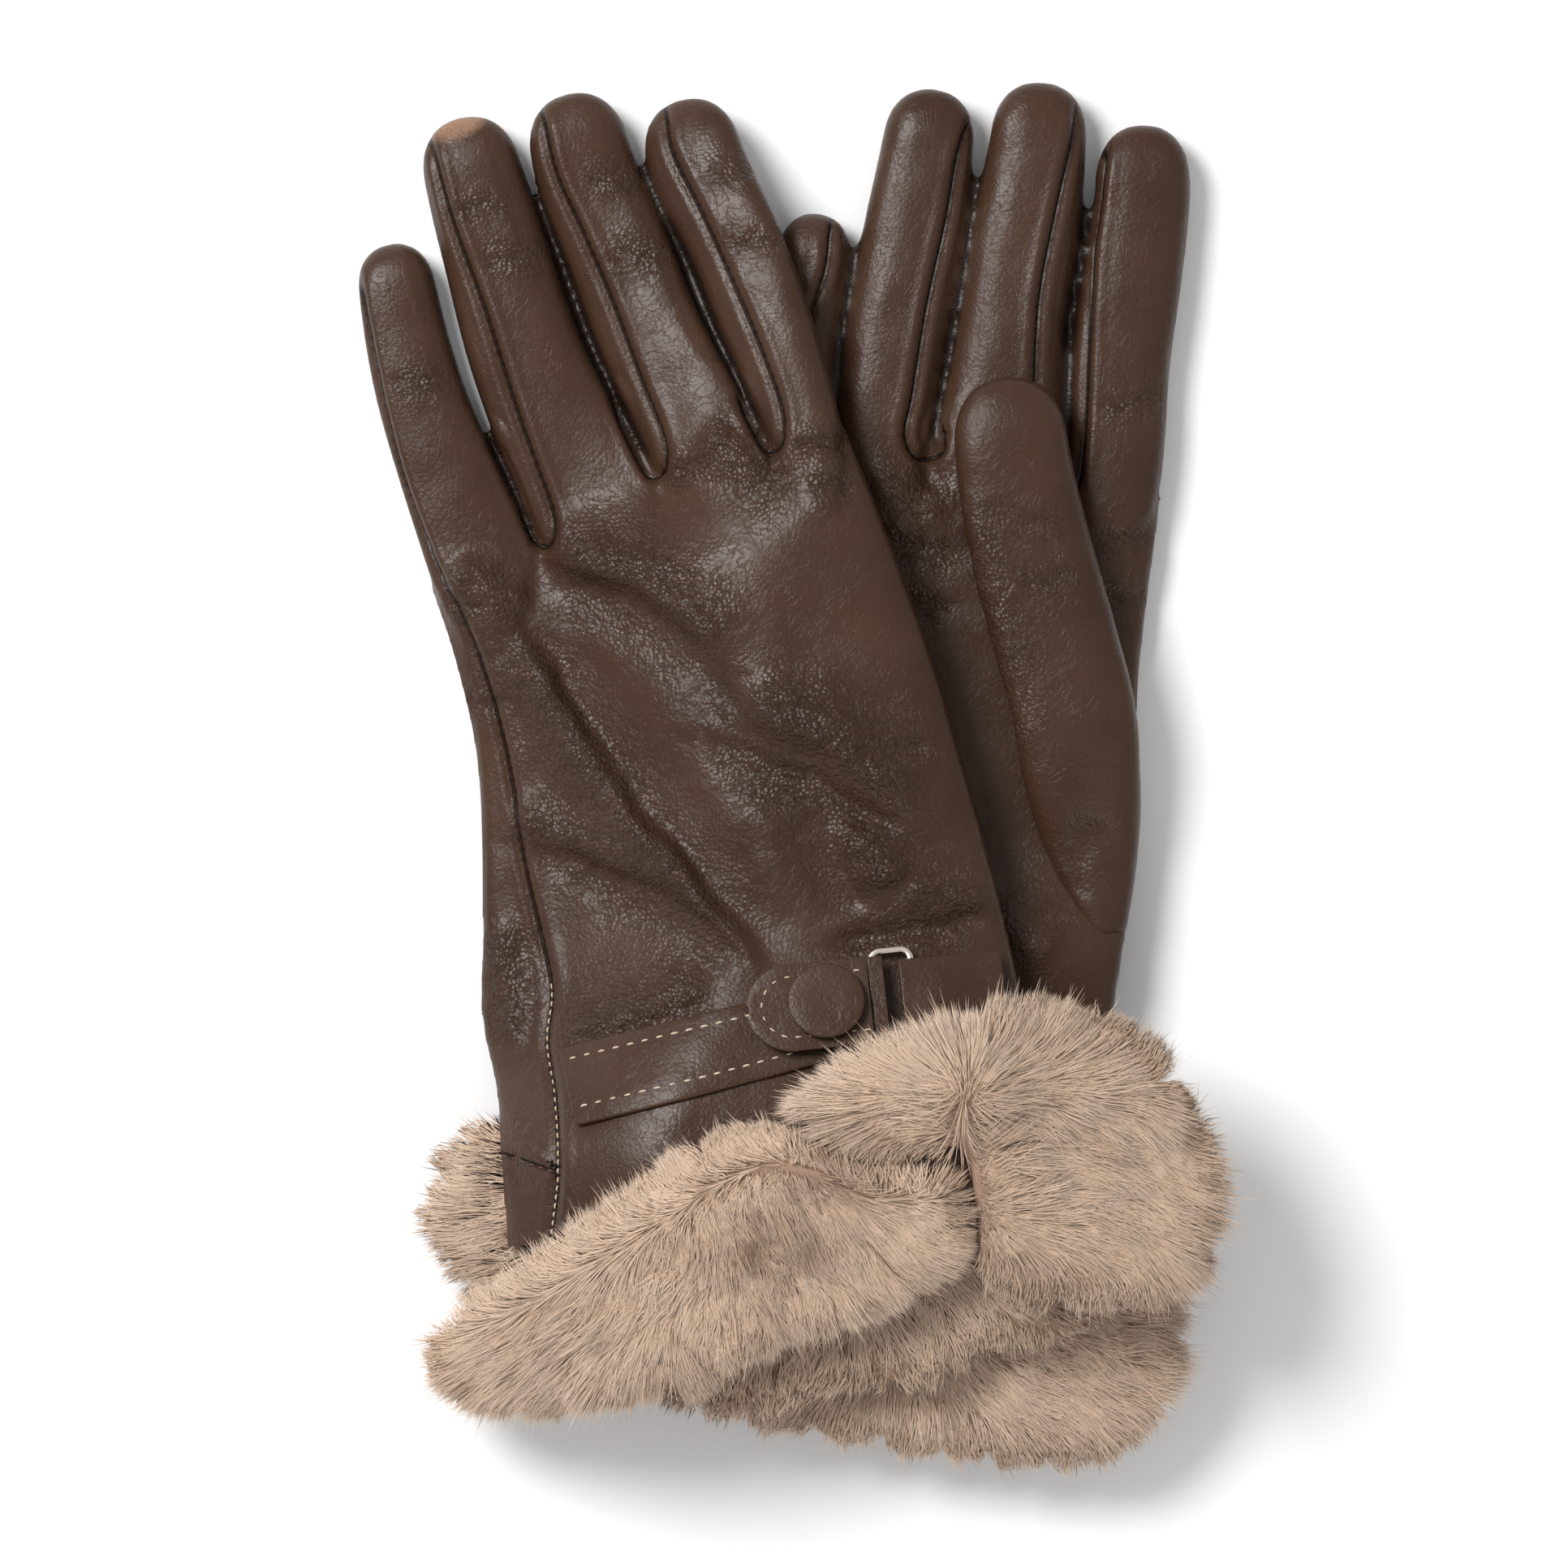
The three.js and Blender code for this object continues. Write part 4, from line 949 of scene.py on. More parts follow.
def domed_disc(name, radius, height, dent):
    bpy.ops.mesh.primitive_cylinder_add(vertices=48, radius=radius * MM, depth=height * MM,
                                        location=(0, 0, height / 2 * MM))
    piece = bpy.context.object
    piece.name = piece.data.name = name
    bpy.ops.object.transform_apply(location=True)
    bpy.ops.object.mode_set(mode="EDIT")
    bpy.ops.mesh.select_mode(type="FACE")
    bpy.ops.mesh.select_all(action="DESELECT")
    bpy.ops.object.mode_set(mode="OBJECT")
    top = max(piece.data.polygons, key=lambda face: face.center.z)
    top.select = True
    bpy.ops.object.mode_set(mode="EDIT")
    for inset in (0.06, 0.12, 0.2, 0.2, 0.18):
        bpy.ops.mesh.inset(thickness=inset * radius * MM)
    bpy.ops.object.mode_set(mode="OBJECT")
    for vertex in piece.data.vertices:
        r = math.hypot(vertex.co.x, vertex.co.y) / (radius * MM)
        if vertex.co.z > height / 2 * MM:
            dome = 0.78 + 0.22 * math.sqrt(max(0, 1 - (r * 0.97) ** 4))
            dip = dent * math.exp(-((r / 0.34) ** 2))
            vertex.co.z = (height * dome - dip) * MM
        elif r > 0.9:
            vertex.co.x *= 0.97
            vertex.co.y *= 0.97
    soft = piece.modifiers.new("soft", "BEVEL")
    soft.width = 0.35 * MM
    soft.segments = 3
    round_off = piece.modifiers.new("round", "SUBSURF")
    round_off.levels = round_off.render_levels = 1
    apply_modifiers(piece)
    piece.data.shade_smooth()
    return piece


def plated_metal(name, colour, rough):
    """Pale gold plate, polished: bright, slightly warm, with hairline wear in its shine."""
    material, shader, links = new_material(name)
    place = add_node(material, "ShaderNodeTexCoord").outputs["Object"]
    worn = add_node(material, "ShaderNodeTexNoise", {"Scale": 1 / (1.2 * MM), "Detail": 4},
                    {"Vector": place}).outputs["Fac"]
    shine = add_node(material, "ShaderNodeMapRange", {"To Min": rough, "To Max": rough + 0.18}, {0: worn})
    links.new(shine.outputs[0], shader.inputs["Roughness"])
    tint = add_node(material, "ShaderNodeMix",
                    {"data_type": "RGBA", 6: linear(colour), 7: linear("#C9B79F")},
                    {0: math_node(material, "MULTIPLY", worn, 0.4)})
    links.new(tint.outputs[2], shader.inputs["Base Color"])
    shader.inputs["Metallic"].default_value = 1
    return material


plate = plated_metal("pale_gold_plated_zinc", "#EFE4D6", 0.16)
for side, trim in TRIMS.items():
    button = domed_disc(f"{side}_covered_button", BUTTON_RADIUS, BUTTON_HEIGHT, 0.28)
    stand_on(button, side, trim["tab_tilt"], 0, BUTTON_BOTTOM - 0.3)
    button.data.materials.append(leather)
    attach(button, f"{side}_tab")
    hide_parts(f"{side}_button")
    snap = domed_disc(f"{side}_snap", SNAP_RADIUS, SNAP_HEIGHT, 0.3)
    stand_on(snap, side, trim["tab_tilt"], 0, SNAP_BOTTOM)
    snap.data.materials.append(plate)
    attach(snap, f"{side}_glove")
    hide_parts(f"{side}_snap_stud")

# ---- Keeper rings ---------------------------------------------------------------------------
# A bent and soldered rectangle of wire that the strap's short end runs into. It is plated as
# the snap stud is, and has rounded corners.
KEEPER_WIDTH, KEEPER_HEIGHT, KEEPER_WIRE = 9.0, 20.6, 1.3
CORNER = 1.9


def ring_point(turn):
    """Centre line of the rounded rectangle at a turn from 0 to 1, and its outward direction."""
    w, h = (KEEPER_WIDTH - KEEPER_WIRE) / 2 - CORNER, (KEEPER_HEIGHT - KEEPER_WIRE) / 2 - CORNER
    corners = [(w, h), (-w, h), (-w, -h), (w, -h)]
    quarter, part = divmod(turn * 4, 1)
    cx, cy = corners[int(quarter) % 4]
    angle = (quarter + part) * math.pi / 2
    return cx + CORNER * math.cos(angle), cy + CORNER * math.sin(angle), math.cos(angle), math.sin(angle)


for side, trim in TRIMS.items():
    bpy.ops.mesh.primitive_torus_add(major_segments=64, minor_segments=12, major_radius=1,
                                     minor_radius=0.1)
    keeper = bpy.context.object
    keeper.name = keeper.data.name = f"{side}_keeper_ring"
    point, normal = on_glove(side, trim["tab_tilt"], KEEPER_AT, 0, SNAP_BOTTOM + KEEPER_WIRE / 2)
    turn = math.radians(trim["tab_tilt"])
    right = np.array([math.cos(turn), math.sin(turn), 0])
    right -= normal * (right @ normal)
    right /= np.linalg.norm(right)
    ahead = np.cross(normal, right)
    for k, vertex in enumerate(keeper.data.vertices):
        major, minor = divmod(k, 12)
        share = major / 64
        x, y, out_x, out_y = ring_point(share + 1e-6)
        angle = 2 * math.pi * minor / 12
        c, s = squared_round(np.array(angle), 2 / 3.4)
        wide = KEEPER_WIRE / 2 * float(c)
        tall = KEEPER_WIRE / 2 * float(s) * 0.9
        vertex.co = to_row([point + right * (x + out_x * wide) + ahead * (y + out_y * wide)
                            + normal * tall])[0]
    face_outwards(keeper)
    keeper.data.shade_smooth()
    keeper.data.materials.append(plate)
    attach(keeper, f"{side}_keeper")
    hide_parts(f"{side}_keeper")
bpy.ops.object.select_all(action="DESELECT")

# ---- Stitching ------------------------------------------------------------------------------
# Long pale stitches on the strap and tab, and fine ones along the side seam and the cross seam.
# Each stitch is a short piece of thread of its own.
def thread(name, colour, shade):
    """Waxed polyester thread: a faint twist, and a low shine from the wax."""
    material, shader, links = new_material(name)
    place = add_node(material, "ShaderNodeTexCoord").outputs["Object"]
    twist = add_node(material, "ShaderNodeTexNoise", {"Scale": 1 / (0.5 * MM), "Detail": 2},
                     {"Vector": place}).outputs["Fac"]
    mix = add_node(material, "ShaderNodeMix", {"data_type": "RGBA", 6: linear(shade), 7: linear(colour)},
                   {0: twist})
    links.new(mix.outputs[2], shader.inputs["Base Color"])
    bump = add_node(material, "ShaderNodeBump", {"Strength": 0.5, "Distance": 0.1 * MM}, {"Height": twist})
    links.new(bump.outputs[0], shader.inputs["Normal"])
    shader.inputs["Roughness"].default_value = 0.6
    return material


pale_thread = thread("waxed_polyester_thread_sand", "#DCCBB2", "#A8937A")
red_thread = thread("waxed_polyester_thread_russet", "#7A4A48", "#4C2B2A")


def stitches(name, centres, directions, normals, long, radius, sink, material, body):
    """A row of stitches: each a short thread, arched up in its middle and sunk at both ends."""
    sides, stops = 6, [-0.5, -0.3, 0.0, 0.3, 0.5]
    points, faces = [], []
    for at, along, up in zip(centres, directions, normals):
        along = along / np.linalg.norm(along)
        across = np.cross(up, along)
        first = len(points)
        for s in stops:
            thick = radius * (0.45 if abs(s) == 0.5 else 1.0)
            arch = -sink * (2 * s) ** 2 * 2
            for k in range(sides):
                angle = 2 * math.pi * k / sides
                points.append(at + along * s * long + up * (arch + thick * math.sin(angle))
                              + across * thick * math.cos(angle))
        faces += tube_faces(len(stops), sides, first)
    piece = mesh_object(name, to_row(points), faces)
    face_outwards(piece)
    piece.data.shade_smooth()
    piece.data.materials.append(material)
    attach(piece, body)
    return piece


def row_of(side, tilt, path, pitch, h):
    """Evenly spaced places along a path of (a, b) on a trim."""
    path = np.asarray(path, float)
    run = run_along(path)
    at = np.arange(pitch / 2, run[-1], pitch)
    a, b = (np.interp(at, run, path[:, k]) for k in (0, 1))
    a2, b2 = (np.interp(at + 0.3, run, path[:, k]) for k in (0, 1))
    here, normal = on_glove(side, tilt, a, b, h)
    ahead, _ = on_glove(side, tilt, a2, b2, h)
    return here, ahead - here, normal


INSET = 2.5
STRAP_PITCH, STRAP_STITCH = 2.9, 2.0
TAB_PITCH, TAB_STITCH = 2.7, 1.8
SUNK = 0.25
for side, trim in TRIMS.items():
    top = TRIM_GAP - 0.3 + STRAP_THICK + 0.26
    start = 1.8 - trim["strap"]
    for label, b in (("upper", STRAP_WIDTH / 2 - INSET), ("lower", INSET + 0.6 - STRAP_WIDTH / 2)):
        b += trim["shift"]
        stop = -9 if label == "upper" else 4
        where = row_of(side, trim["strap_tilt"], [(start, b), (stop, b)], STRAP_PITCH, top)
        stitches(f"{side}_strap_stitches_{label}", *where, STRAP_STITCH, 0.22, SUNK, pale_thread,
                 f"{side}_glove")
    half = TAB_WIDTH / 2 - INSET
    turn = np.linspace(math.pi / 2, 3 * math.pi / 2, 24)
    edge = [(KEEPER_AT - 5.5, half)]
    edge += [(-ROUND_START + math.cos(t) * half, math.sin(t) * half) for t in turn]
    edge += [(KEEPER_AT - 5.5, -half)]
    where = row_of(side, trim["tab_tilt"], edge, TAB_PITCH, TAB_BOTTOM + TAB_THICK + 0.26)
    stitches(f"{side}_tab_stitches", *where, TAB_STITCH, 0.18, SUNK, pale_thread, f"{side}_tab")


def on_skin(side, line, pitch, h):
    """Evenly spaced places along a plan line, dropped onto the leather."""
    run = run_along(line)
    at = np.arange(pitch / 2, run[-1], pitch)
    plan = np.column_stack([np.interp(at, run, line[:, k]) for k in (0, 1)])
    there = np.column_stack([np.interp(at + 0.3, run, line[:, k]) for k in (0, 1)])
    places = []
    for x, y, x2, y2 in np.hstack([plan, there]):
        hit, normal, _, _ = top_skins[side].ray_cast(Vector((x, y, 90)), Vector((0, 0, -1)))
        if hit is not None:
            up = np.array(normal) if normal.z > 0 else -np.array(normal)
            places.append((np.array(hit) + up * h, np.array([x2 - x, y2 - y, 0]), up))
    return [np.array(column) for column in zip(*places)]


side_line = smooth_line(SEAMS["left"][0][0], 240)
visible = side_line[side_line[:, 1] < -38]
stitches("left_side_stitches", *on_skin("left", visible, 1.7, 0.15), 1.15, 0.2, 0.1, pale_thread,
         "left_glove")
cross_line = smooth_line(SEAMS["left"][4][0], 30)
stitches("left_cross_stitches", *on_skin("left", cross_line, 1.9, 0.2), 1.5, 0.22, 0.1, red_thread,
         "left_glove")

# ---- Fur cuffs ------------------------------------------------------------------------------
# Dyed rabbit skin sewn round each cuff: a soft hide with dense pile, paler at the tips and
# brown at the roots. Each strand stands for a small lock of hairs.
FURS = {
    "left_fur_back": {
        "face": 1, "strands": 46000, "parts": 2, "under": 0.0, "length": 11.0,
        "inset": (4.5, 6.5, 5, 2),
        "upper": [(-71, -107), (-60, -99), (-50, -93), (-42, -87), (-33, -79.5), (-24, -73.5),
                  (-14, -67), (-5, -63), (4, -65.5), (13, -71.5), (23, -73), (32.5, -73.5)],
        "lower": [(-68, -117), (-62, -123), (-52, -125), (-42, -124), (-32, -122), (-22, -119.5),
                  (-12, -116), (-2, -111), (8, -108), (18, -104), (27, -99.5), (34.5, -92)],
    },
    "left_fur_side": {
        "face": 1, "strands": 50000, "parts": 3, "under": 0.1, "length": 12.0, "over_trims": True,
        "inset": (3, 2.5, 1, 5),
        "upper": [(3, -60.5), (10, -55), (17.5, -51), (25.5, -49), (32, -46), (44, -43.5),
                  (53, -43.5), (62, -45.5), (70, -52), (77, -62), (82, -75)],
        "lower": [(5, -62), (14, -69), (23, -70.5), (34, -71), (36.5, -82), (38, -92), (46, -96.5),
                  (55, -97.5), (64, -97.5), (73, -96.5), (80.5, -89.5)],
    },
    "left_fur_palm": {
        "face": -1, "strands": 32000, "parts": 1, "under": 0.2, "length": 10.5,
        "inset": (2, 5, 0.5, 9),
        "upper": [(x, -66) for x in range(-60, 61, 10)] + [(70, -72)],
        "lower": [(-73, -88), (-66, -98), (-54, -108), (-42, -114), (-30, -119), (-18, -123),
                  (-8, -123.5), (4, -121), (14, -118.5), (26, -118), (38, -111), (50, -109.5),
                  (62, -106), (71, -98)],
    },
    "right_fur_palm": {
        "face": 1, "strands": 32000, "parts": 1, "under": 0.05, "length": 11.0,
        "inset": (5, 5.5, 4, 4),
        "upper": [(-17, -78), (-8, -78), (1, -78), (10, -78), (20, -78), (30, -78), (40, -78),
                  (50, -78), (60, -80), (70, -90), (75, -102)],
        "lower": [(-17, -122), (-8, -126), (1, -128), (11, -129.5), (21, -131), (31, -133),
                  (41, -134.5), (51, -135.5), (60, -134), (69, -127.5), (75.5, -116)],
    },
    "right_fur_back": {
        "face": -1, "strands": 15000, "parts": 1, "under": 0.45, "length": 9.0,
        "inset": (5, 7, 5, 5),
        "upper": [(x, -62) for x in range(-33, 58, 10)] + [(66, -66)],
        "lower": [(-35, -108), (-26, -114), (-16, -118), (-6, -121), (5, -124), (16, -126),
                  (27, -128), (38, -129), (49, -129), (60, -126), (68, -116)],
    },
    "right_fur_side": {
        "face": -1, "strands": 3000, "parts": 1, "under": 0.3, "length": 9.0,
        "inset": (3, 3, 3, 3),
        "upper": [(67, -67.5), (71, -76)],
        "lower": [(69.5, -115), (75, -106)],
    },
}
FUR_GAP, FUR_THICK, TRIM_STACK = 0.8, 6.6, 6.9
PLUMP = ([0, 0.12, 0.4, 0.7, 0.92, 1], [0.45, 0.85, 1, 1, 0.85, 0.45])
HIDE_SHARE = 0.52
HIDE_MARGIN = 1.5
WHORL = smooth_line([(34.5, -57), (33.6, -66), (33.4, -80)], 12)
STRAND_WIDTH = 0.105
UNDERFUR = 0.22
LOCK_AREA = 13.0
UNDERFUR_LONG = 4.6
LONG_SHARE, LONG_GAIN = 0.04, 1.3
GATHER, WAIST_GATHER = 0.55, 0.35
BEND_AT = 0.42
SOFT_LIGHT = 0.87


def fur_height(name, spec, x, y, v, share):
    """Height of a level inside a fur strip, 0 at the leather's face and 1 at the pile's top."""
    side = name.split("_")[0]
    raised = TRIM_STACK * rise(y, -67, -57) if spec.get("over_trims") else 0
    full = FUR_THICK * np.interp(v, *PLUMP)
    skin = table_to_glove(side, x, y) + (hand_thick(y) if spec["face"] > 0 else 0)
    return skin + spec["face"] * (FUR_GAP + raised + full * share)


def fur_plan(spec, u, v, margin=0.0):
    """Plan point of the hide, u along it and v from its upper to its lower edge."""
    steps = 60
    upper, lower = smooth_line(spec["upper"], steps), smooth_line(spec["lower"], steps)
    long = np.linalg.norm(np.diff((upper + lower) / 2, axis=0), axis=1).sum()
    over, below, start, end = (max(0.0, inset - margin) for inset in spec["inset"])
    at = (start + u * (long - start - end)) / long * (steps - 1)
    top = np.stack([np.interp(at, range(steps), upper[:, k]) for k in (0, 1)], -1)
    foot = np.stack([np.interp(at, range(steps), lower[:, k]) for k in (0, 1)], -1)
    wide = np.maximum(np.linalg.norm(foot - top, axis=-1), 1)
    share = np.minimum(1, 0.8 * wide / (over + below + 0.01))
    t = share * over / wide + v * (1 - share * (over + below) / wide)
    return top + (foot - top) * t[..., None]


def unit(rows):
    return rows / (np.linalg.norm(rows, axis=-1, keepdims=True) + 1e-6)


def fur_flow(name, at, v):
    """The way the pile is brushed, in plan, before locks and noise."""
    x, y = at[:, 0], at[:, 1]
    if name == "left_fur_side":
        away = at[:, None, :] - WHORL[None]
        nearest = np.argmin((away**2).sum(-1), axis=1)
        flow = unit(away[np.arange(len(at)), nearest])
        close = np.exp(-(np.sqrt((away**2).sum(-1).min(1)) / 6) ** 2)
        flow[:, 1] += 0.35 * rise(y, -58, -50) - 0.35 * rise(x, 44, 66) * rise(-y, 50, 70)
        swirl = 0.9 * ripple(np.column_stack([at, 0 * x]), 6, 50)
        flow += np.column_stack([swirl, 0.7 + 0 * x]) * close[:, None]
        flow[:, 0] -= 0.5 * (1 - rise(x, 10, 30))
        return flow
    if name == "left_fur_back":
        across = rise(x, -70, 36)
        flow = np.column_stack([-0.8 + 1.5 * across, -0.8 + 0.2 * across])
        up = 1 - rise(v, 0.05, 0.22)
        return flow * (1 - up)[:, None] + np.outer(up, (-0.45, 0.8))
    centre = {"left_fur_palm": (2, -70), "right_fur_palm": (20, -92)}.get(name, (15, -80))
    return unit(at - centre)


def locks(points, size, seed):
    """Smooth noise over the plan for the lie of the locks."""
    return ripple(np.column_stack([points, np.full(len(points), seed * 3.1)]), size, seed)


def outside_leather(side, at):
    """How far plan points are out from the edges and the cuff end of a hand, or 0 inside."""
    edges = CUTS[side]["edges"]
    left, _, _ = to_line(at, np.array([e[0] for e in edges], float))
    right, _, _ = to_line(at, np.array([e[1] for e in edges], float))
    a, b = np.array(edges[-1], float)
    normal = np.array([(b - a)[1], -(b - a)[0]]) / np.linalg.norm(b - a)
    return np.maximum.reduce([-left, right, (at - a) @ normal, np.zeros(len(at))])


def dyed_rabbit(name, root, mid, tip, brown):
    """Brown underfur, sandy guard hairs with paler tips, and broken tone from lock to lock; the brown mixed
    in by tone also carries painted shade along one crease of the pile.
    """
    material, shader, links = new_material(name)
    along = add_node(material, "ShaderNodeAttribute", {"attribute_name": "along"}).outputs["Fac"]
    tone = add_node(material, "ShaderNodeAttribute", {"attribute_name": "tone"}).outputs["Fac"]
    ramp = add_node(material, "ShaderNodeValToRGB", links={0: along})
    stops = ramp.color_ramp.elements
    stops[0].color, stops[1].color = linear(root), linear(tip)
    middle = stops.new(0.36)
    middle.color = linear(mid)
    mix = add_node(material, "ShaderNodeMix", {"data_type": "RGBA", 7: linear(brown)},
                   {0: tone, 6: ramp.outputs[0]})
    links.new(mix.outputs[2], shader.inputs["Base Color"])
    shader.inputs["Roughness"].default_value = 0.6
    shader.inputs["Specular IOR Level"].default_value = 0.25
    shader.inputs["Sheen Weight"].default_value = 0.1
    shader.inputs["Sheen Roughness"].default_value = 0.5
    return material


def store(piece, label, values):
    attribute = piece.data.attributes.new(label, "FLOAT", "POINT")
    attribute.data.foreach_set("value", np.asarray(values, np.float32))


rabbit = dyed_rabbit("dyed_rabbit_fur", "#957864", "#CFB198", "#E9D0BA", "#6A4B3A")

for seed, (name, spec) in enumerate(FURS.items(), 1):
    rng = np.random.default_rng(100 + seed)
    side, face = name.split("_")[0], spec["face"]
    # The hide with its underfur, as a padded strip.
    rows, columns = 22, 70
    u, v = np.meshgrid(np.linspace(0, 1, columns), np.linspace(0, 1, rows))
    plan = fur_plan(spec, u, v, HIDE_MARGIN)
    x, y = plan[..., 0], plan[..., 1]
    edge = np.sqrt(np.clip(1 - (2 * v - 1) ** 4, 0, 1)) * np.clip(1 - (2 * u - 1) ** 12, 0, 1) ** 0.5
    outer_z = fur_height(name, spec, x, y, v, 0.12 + (HIDE_SHARE - 0.12) * edge)
    inner_z = fur_height(name, spec, x, y, v, 0.1 * edge)
    hide_points = np.vstack([np.stack([x, y, z], -1).reshape(-1, 3) for z in (outer_z, inner_z)])
    number = np.arange(rows * columns).reshape(rows, columns)
    quads = np.stack([number[:-1, :-1], number[:-1, 1:], number[1:, 1:], number[1:, :-1]], -1)
    loop = np.r_[number[0], number[1:, -1], number[-1, :-1][::-1], number[1:-1, 0][::-1]]
    pairs = np.column_stack([loop, np.roll(loop, -1)])
    turned = slice(None, None, -face)
    quads = quads.reshape(-1, 4)[:, turned]
    pairs = pairs[:, turned]
    count = rows * columns
    rim = np.column_stack([pairs[:, 1], pairs[:, 0], pairs[:, 0] + count, pairs[:, 1] + count])
    hide = mesh_object(f"{name}_hide", to_row(hide_points), np.vstack([quads, quads[:, ::-1] + count, rim]))
    hide.data.shade_smooth()
    store(hide, "along", np.full(2 * count, 0.15))
    store(hide, "tone", 0.3 + 0.2 * rng.random(2 * count))
    hide.data.materials.append(rabbit)
    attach(hide, f"{side}_glove")
    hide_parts(name)

    # The pile: strands rooted evenly over the hide.
    count = spec["strands"]
    su, sv = rng.random((2, count * 3))
    at = fur_plan(spec, su, sv)
    step = 0.002
    du = fur_plan(spec, su + step, sv) - at
    dv = fur_plan(spec, su, sv + step) - at
    area = np.abs(du[:, 0] * dv[:, 1] - du[:, 1] * dv[:, 0])
    kept = rng.random(count * 3) < area / np.percentile(area, 90)
    su, sv, at = su[kept][:count], sv[kept][:count], at[kept][:count]
    count = len(su)
    lock_count = int(area.mean() / step**2 / LOCK_AREA) + 4
    centres = at[rng.choice(count, lock_count, replace=False)]
    own = np.concatenate([np.argmin(((part[:, None] - centres) ** 2).sum(-1), axis=1)
                          for part in np.array_split(at, 1 + count // 4000)])
    lock_random = rng.normal(size=(4, lock_count))[:, own]

    # Which way each strand lies: brushed along the flow, and out over the edges.
    near_edge = rise(np.abs(2 * sv - 1), 0.6, 1.0)
    near_end = rise(np.abs(2 * su - 1), 0.85, 1.0)
    out_edge = unit(at - fur_plan(spec, su, np.full(count, 0.5)))
    ahead = fur_plan(spec, np.minimum(su + 0.02, 1), sv)
    ahead -= fur_plan(spec, np.maximum(su - 0.02, 0), sv)
    out_end = unit(ahead) * np.where(su < 0.5, -1.0, 1.0)[:, None]
    flow = unit(fur_flow(name, at, sv))
    flow = flow * (1 - 0.6 * near_edge)[:, None] + out_edge * (0.7 * near_edge)[:, None]
    flow = flow * (1 - 0.6 * near_end)[:, None] + out_end * (0.7 * near_end)[:, None]
    turn = 0.45 * locks(at, 14, seed) + 0.17 * lock_random[0] + 0.14 * rng.normal(size=count)
    c, s = np.cos(turn), np.sin(turn)
    flow = unit(np.column_stack([flow[:, 0] * c - flow[:, 1] * s, flow[:, 0] * s + flow[:, 1] * c]))
    length = spec["length"] * (0.8 + 0.25 * rng.random(count) + 0.07 * lock_random[1])
    length *= np.where(rng.random(count) < LONG_SHARE, LONG_GAIN, 1.0)
    stand = 0.42 + 0.16 * locks(at, 10, seed + 30) + 0.09 * lock_random[2] + 0.1 * rng.normal(size=count)
    if name == "left_fur_side":
        to_whorl = np.sqrt(((at[:, None] - WHORL[None]) ** 2).sum(-1).min(1))
        stand += 0.35 * np.exp(-((to_whorl / 5) ** 2))
    short = rng.random(count) < UNDERFUR
    length = np.where(short, UNDERFUR_LONG, length)
    stand = np.clip(np.where(short, 1.0, stand), 0.05, 1.2)
    droop = 0.35 + 0.45 * np.maximum(near_edge, near_end)
    lean = (centres[own] - at) * GATHER

    under = rng.random(count) < spec["under"]
    level = HIDE_SHARE - 0.14
    z_up = fur_height(name, spec, at[:, 0], at[:, 1], sv, level if face > 0 else 0.14)
    z_down = fur_height(name, spec, at[:, 0], at[:, 1], sv, 0.14 if face > 0 else level)
    root = np.column_stack([at, np.where(under, z_down, z_up)])
    sense = np.where(under, -1.0, 1.0)
    first = np.column_stack([flow * np.cos(stand)[:, None], sense * np.sin(stand)])
    later = stand - droop * 2
    second = np.column_stack([flow * np.cos(later)[:, None], sense * np.sin(later)])
    waist = root + first * (length * BEND_AT)[:, None]
    tip = waist + second * (length * (1 - BEND_AT))[:, None]
    waist[:, :2] += lean * WAIST_GATHER
    tip[:, :2] += lean
    across = np.column_stack([-flow[:, 1], flow[:, 0], np.zeros(count)])
    up = np.cross(unit(tip - root), across)
    wide = STRAND_WIDTH * (0.75 + 0.6 * rng.random(count))
    points = [root]
    for k in range(3):
        angle = 2 * math.pi * k / 3 + math.pi / 2
        points.append(waist + (across * math.cos(angle) + up * math.sin(angle)) * wide[:, None])
    points = np.stack([*points, tip], axis=1)
    flat = points.reshape(-1, 3)

    # It stays off the table, and lies on or under the leather where it meets it.
    beyond = outside_leather(side, flat[:, :2])
    skin = table_to_glove(side, flat[:, 0], flat[:, 1])
    if face > 0:
        lowest = skin + hand_thick(flat[:, 1]) + 0.5 - 3 * beyond
        if spec.get("over_trims"):
            lowest += TRIM_STACK * rise(flat[:, 1], -64, -54) * (beyond < 0.5)
        flat[:, 2] = np.maximum(flat[:, 2], lowest)
    else:
        flat[:, 2] = np.minimum(flat[:, 2], skin - 0.4 + 2.5 * beyond)
    flat[:, 2] = np.maximum(flat[:, 2], 0.12)

    # Soft shading: each strand takes most of its light as the surface of the pile does.
    rounded = out_edge * near_edge[:, None] * 0.8 + out_end * near_end[:, None] * 0.8
    tilt = np.column_stack([rounded + flow * 0.25 + 0.12 * lock_random[3][:, None], sense])
    radial = points - points.mean(axis=1, keepdims=True)
    normals = unit(unit(tilt)[:, None] * SOFT_LIGHT + unit(radial) * 0.13)
    normals[:, 0] = unit(tilt)
    normals[:, 4] = unit(tilt)

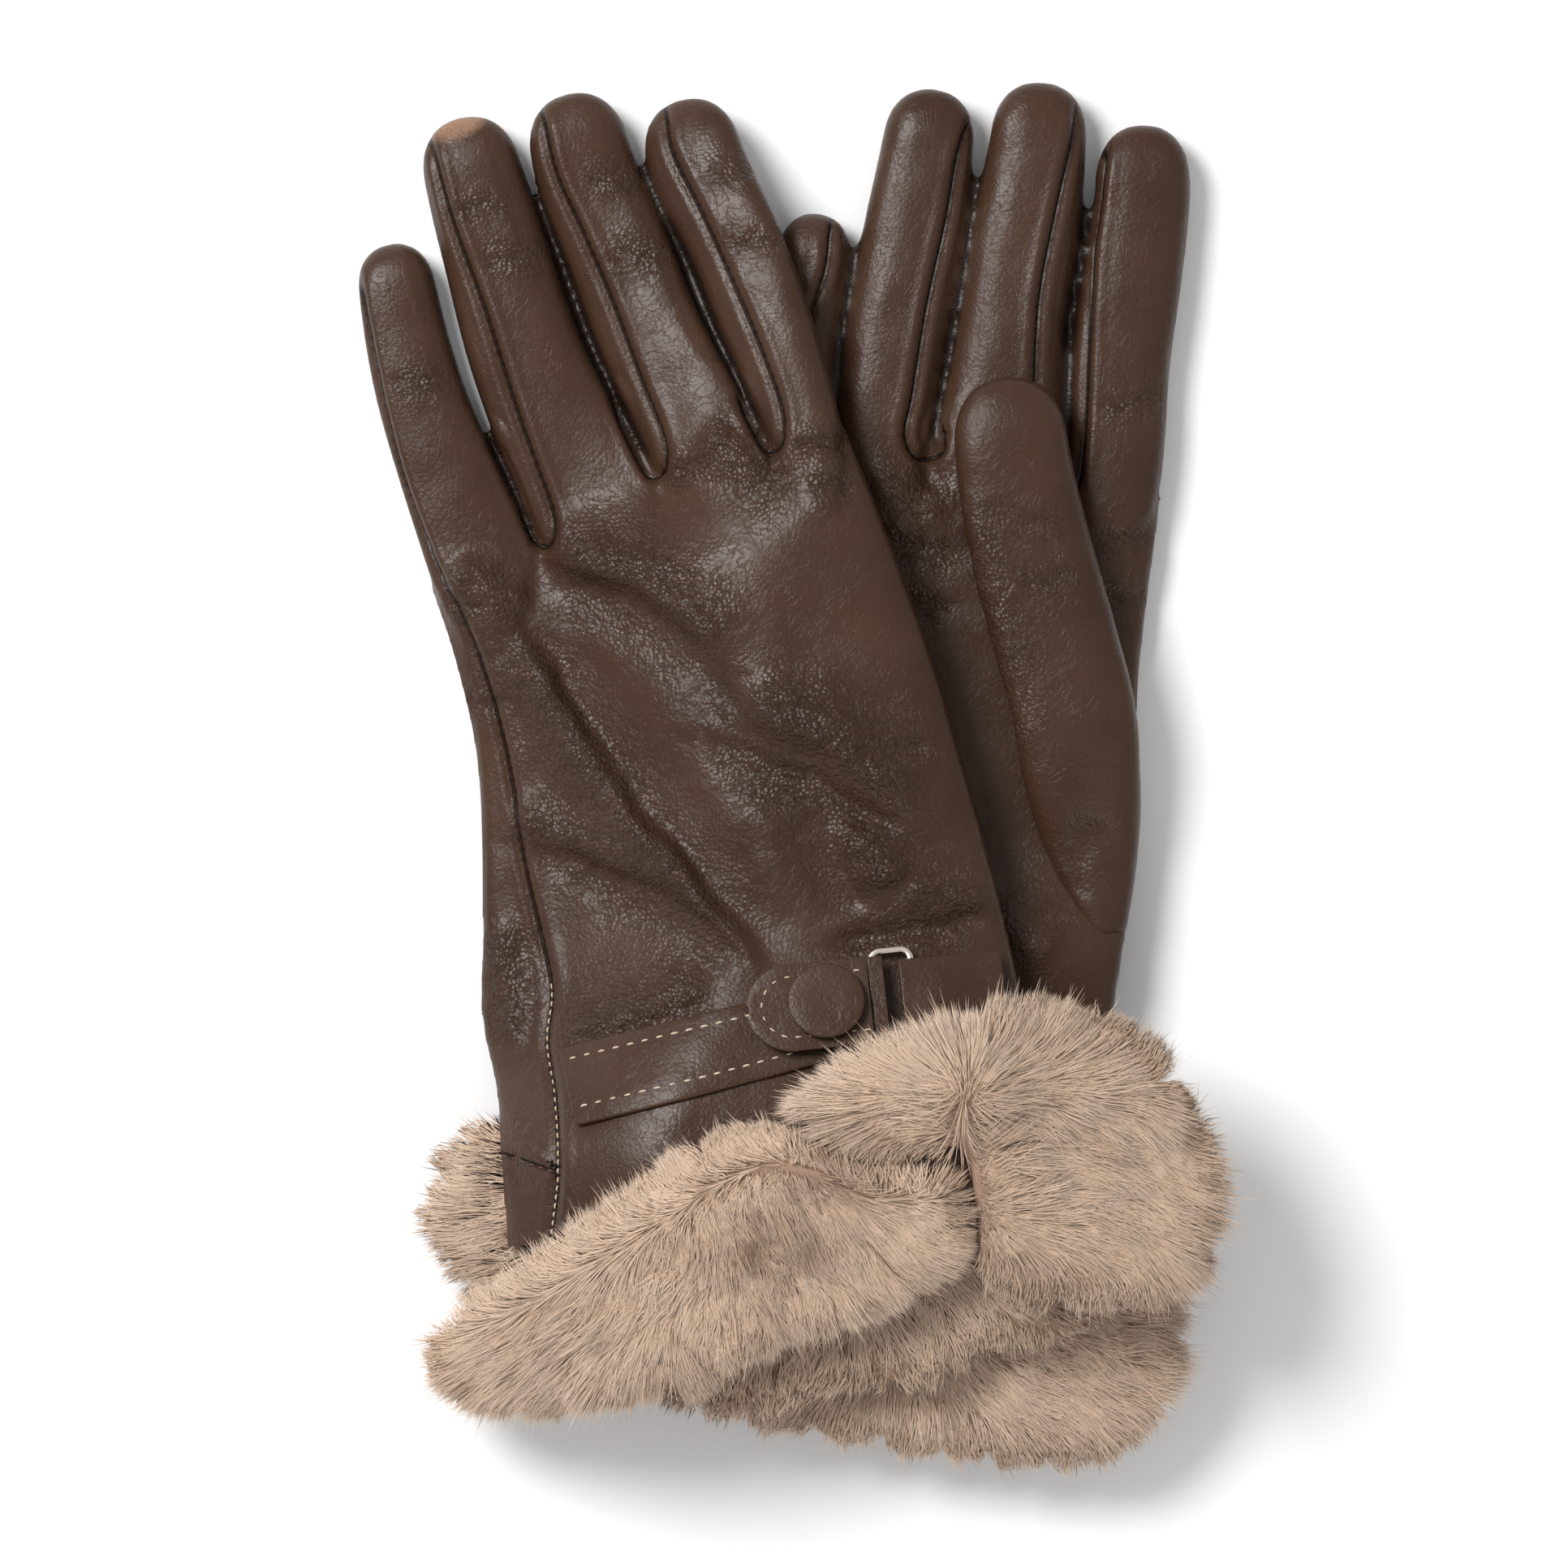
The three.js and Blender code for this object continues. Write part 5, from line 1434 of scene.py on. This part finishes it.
    along = np.tile([0.0, 0.42, 0.42, 0.42, 1.0], (count, 1))
    tone = 0.08 + 0.13 * locks(at, 9, seed + 40) + 0.05 * lock_random[1] + 0.06 * rng.normal(size=count)
    if name == "left_fur_back":
        broken = 0.7 + 0.5 * locks(at, 3, seed + 60)
        tone += 0.9 * broken * np.exp(-(((at[:, 0] + 4) / 10) ** 2 + ((at[:, 1] + 85) / 7.5) ** 2))
        # Painted shade: the pile is made browner along a crease line across the back strip.
        crease = to_line(at, smooth_line([(-4, -74), (8, -75.5), (20, -78.5)], 12))[0]
        tone += 0.45 * np.exp(-((crease / 1.8) ** 2)) * rise(at[:, 0], -6, 0) * (1 - rise(at[:, 0], 18, 24))
    tone = np.clip(tone, 0, 0.8)
    one = []
    for k in range(3):
        a, b = 1 + k, 1 + (k + 1) % 3
        one += [(0, b, a), (a, b, 4)]
    pieces = spec["parts"]
    for part in range(pieces):
        mine = np.flatnonzero((su * pieces).astype(int) == part)
        triangles = (np.array(one)[None] + (np.arange(len(mine)) * 5)[:, None, None]).reshape(-1, 3)
        label = f"{name}_pile" + (f"_{part + 1}" if pieces > 1 else "")
        pile = mesh_object(label, to_row(points[mine].reshape(-1, 3)), triangles)
        pile.data.shade_smooth()
        pile.data.normals_split_custom_set_from_vertices(normals[mine].reshape(-1, 3).tolist())
        store(pile, "along", along[mine].ravel())
        store(pile, "tone", np.repeat(tone[mine], 5))
        pile.data.materials.append(rabbit)
        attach(pile, f"{side}_glove")

# ---- Table and light ------------------------------------------------------------------------
# A plain white table top under the pair, a large soft light high on the left, a weak one in
# front, and an even white surround. The board is matt, so it shows shadows and no reflections.
bpy.ops.mesh.primitive_plane_add(size=4, location=(0, 0, -0.0002))
table = bpy.context.object
table.name = "table_top"
matt, shader, _ = new_material("matt_white_board")
shader.inputs["Base Color"].default_value = linear("#F7F7F7")
shader.inputs["Roughness"].default_value = 0.9
shader.inputs["Specular IOR Level"].default_value = 0.1
table.data.materials.append(matt)


def soft_light(name, place, size, watts):
    bpy.ops.object.light_add(type="AREA", location=place)
    light = bpy.context.object
    light.name = name
    light.data.shape = "DISK"
    light.data.size = size
    light.data.energy = watts
    light.rotation_euler = (Vector((0, 0, 0)) - Vector(place)).to_track_quat("-Z", "Y").to_euler()


soft_light("window_light", (-0.66, 0.5, 1.05), 0.6, 17.5)
soft_light("front_light", (0.35, -1.0, 0.8), 0.5, 3.0)
world = bpy.data.worlds.new("white_surround")
bpy.context.scene.world = world
world.use_nodes = True
world.node_tree.nodes["Background"].inputs[0].default_value = (1, 1, 1, 1)
world.node_tree.nodes["Background"].inputs[1].default_value = 0.5
bpy.context.scene.view_settings.view_transform = "Standard"
bpy.ops.object.select_all(action="DESELECT")
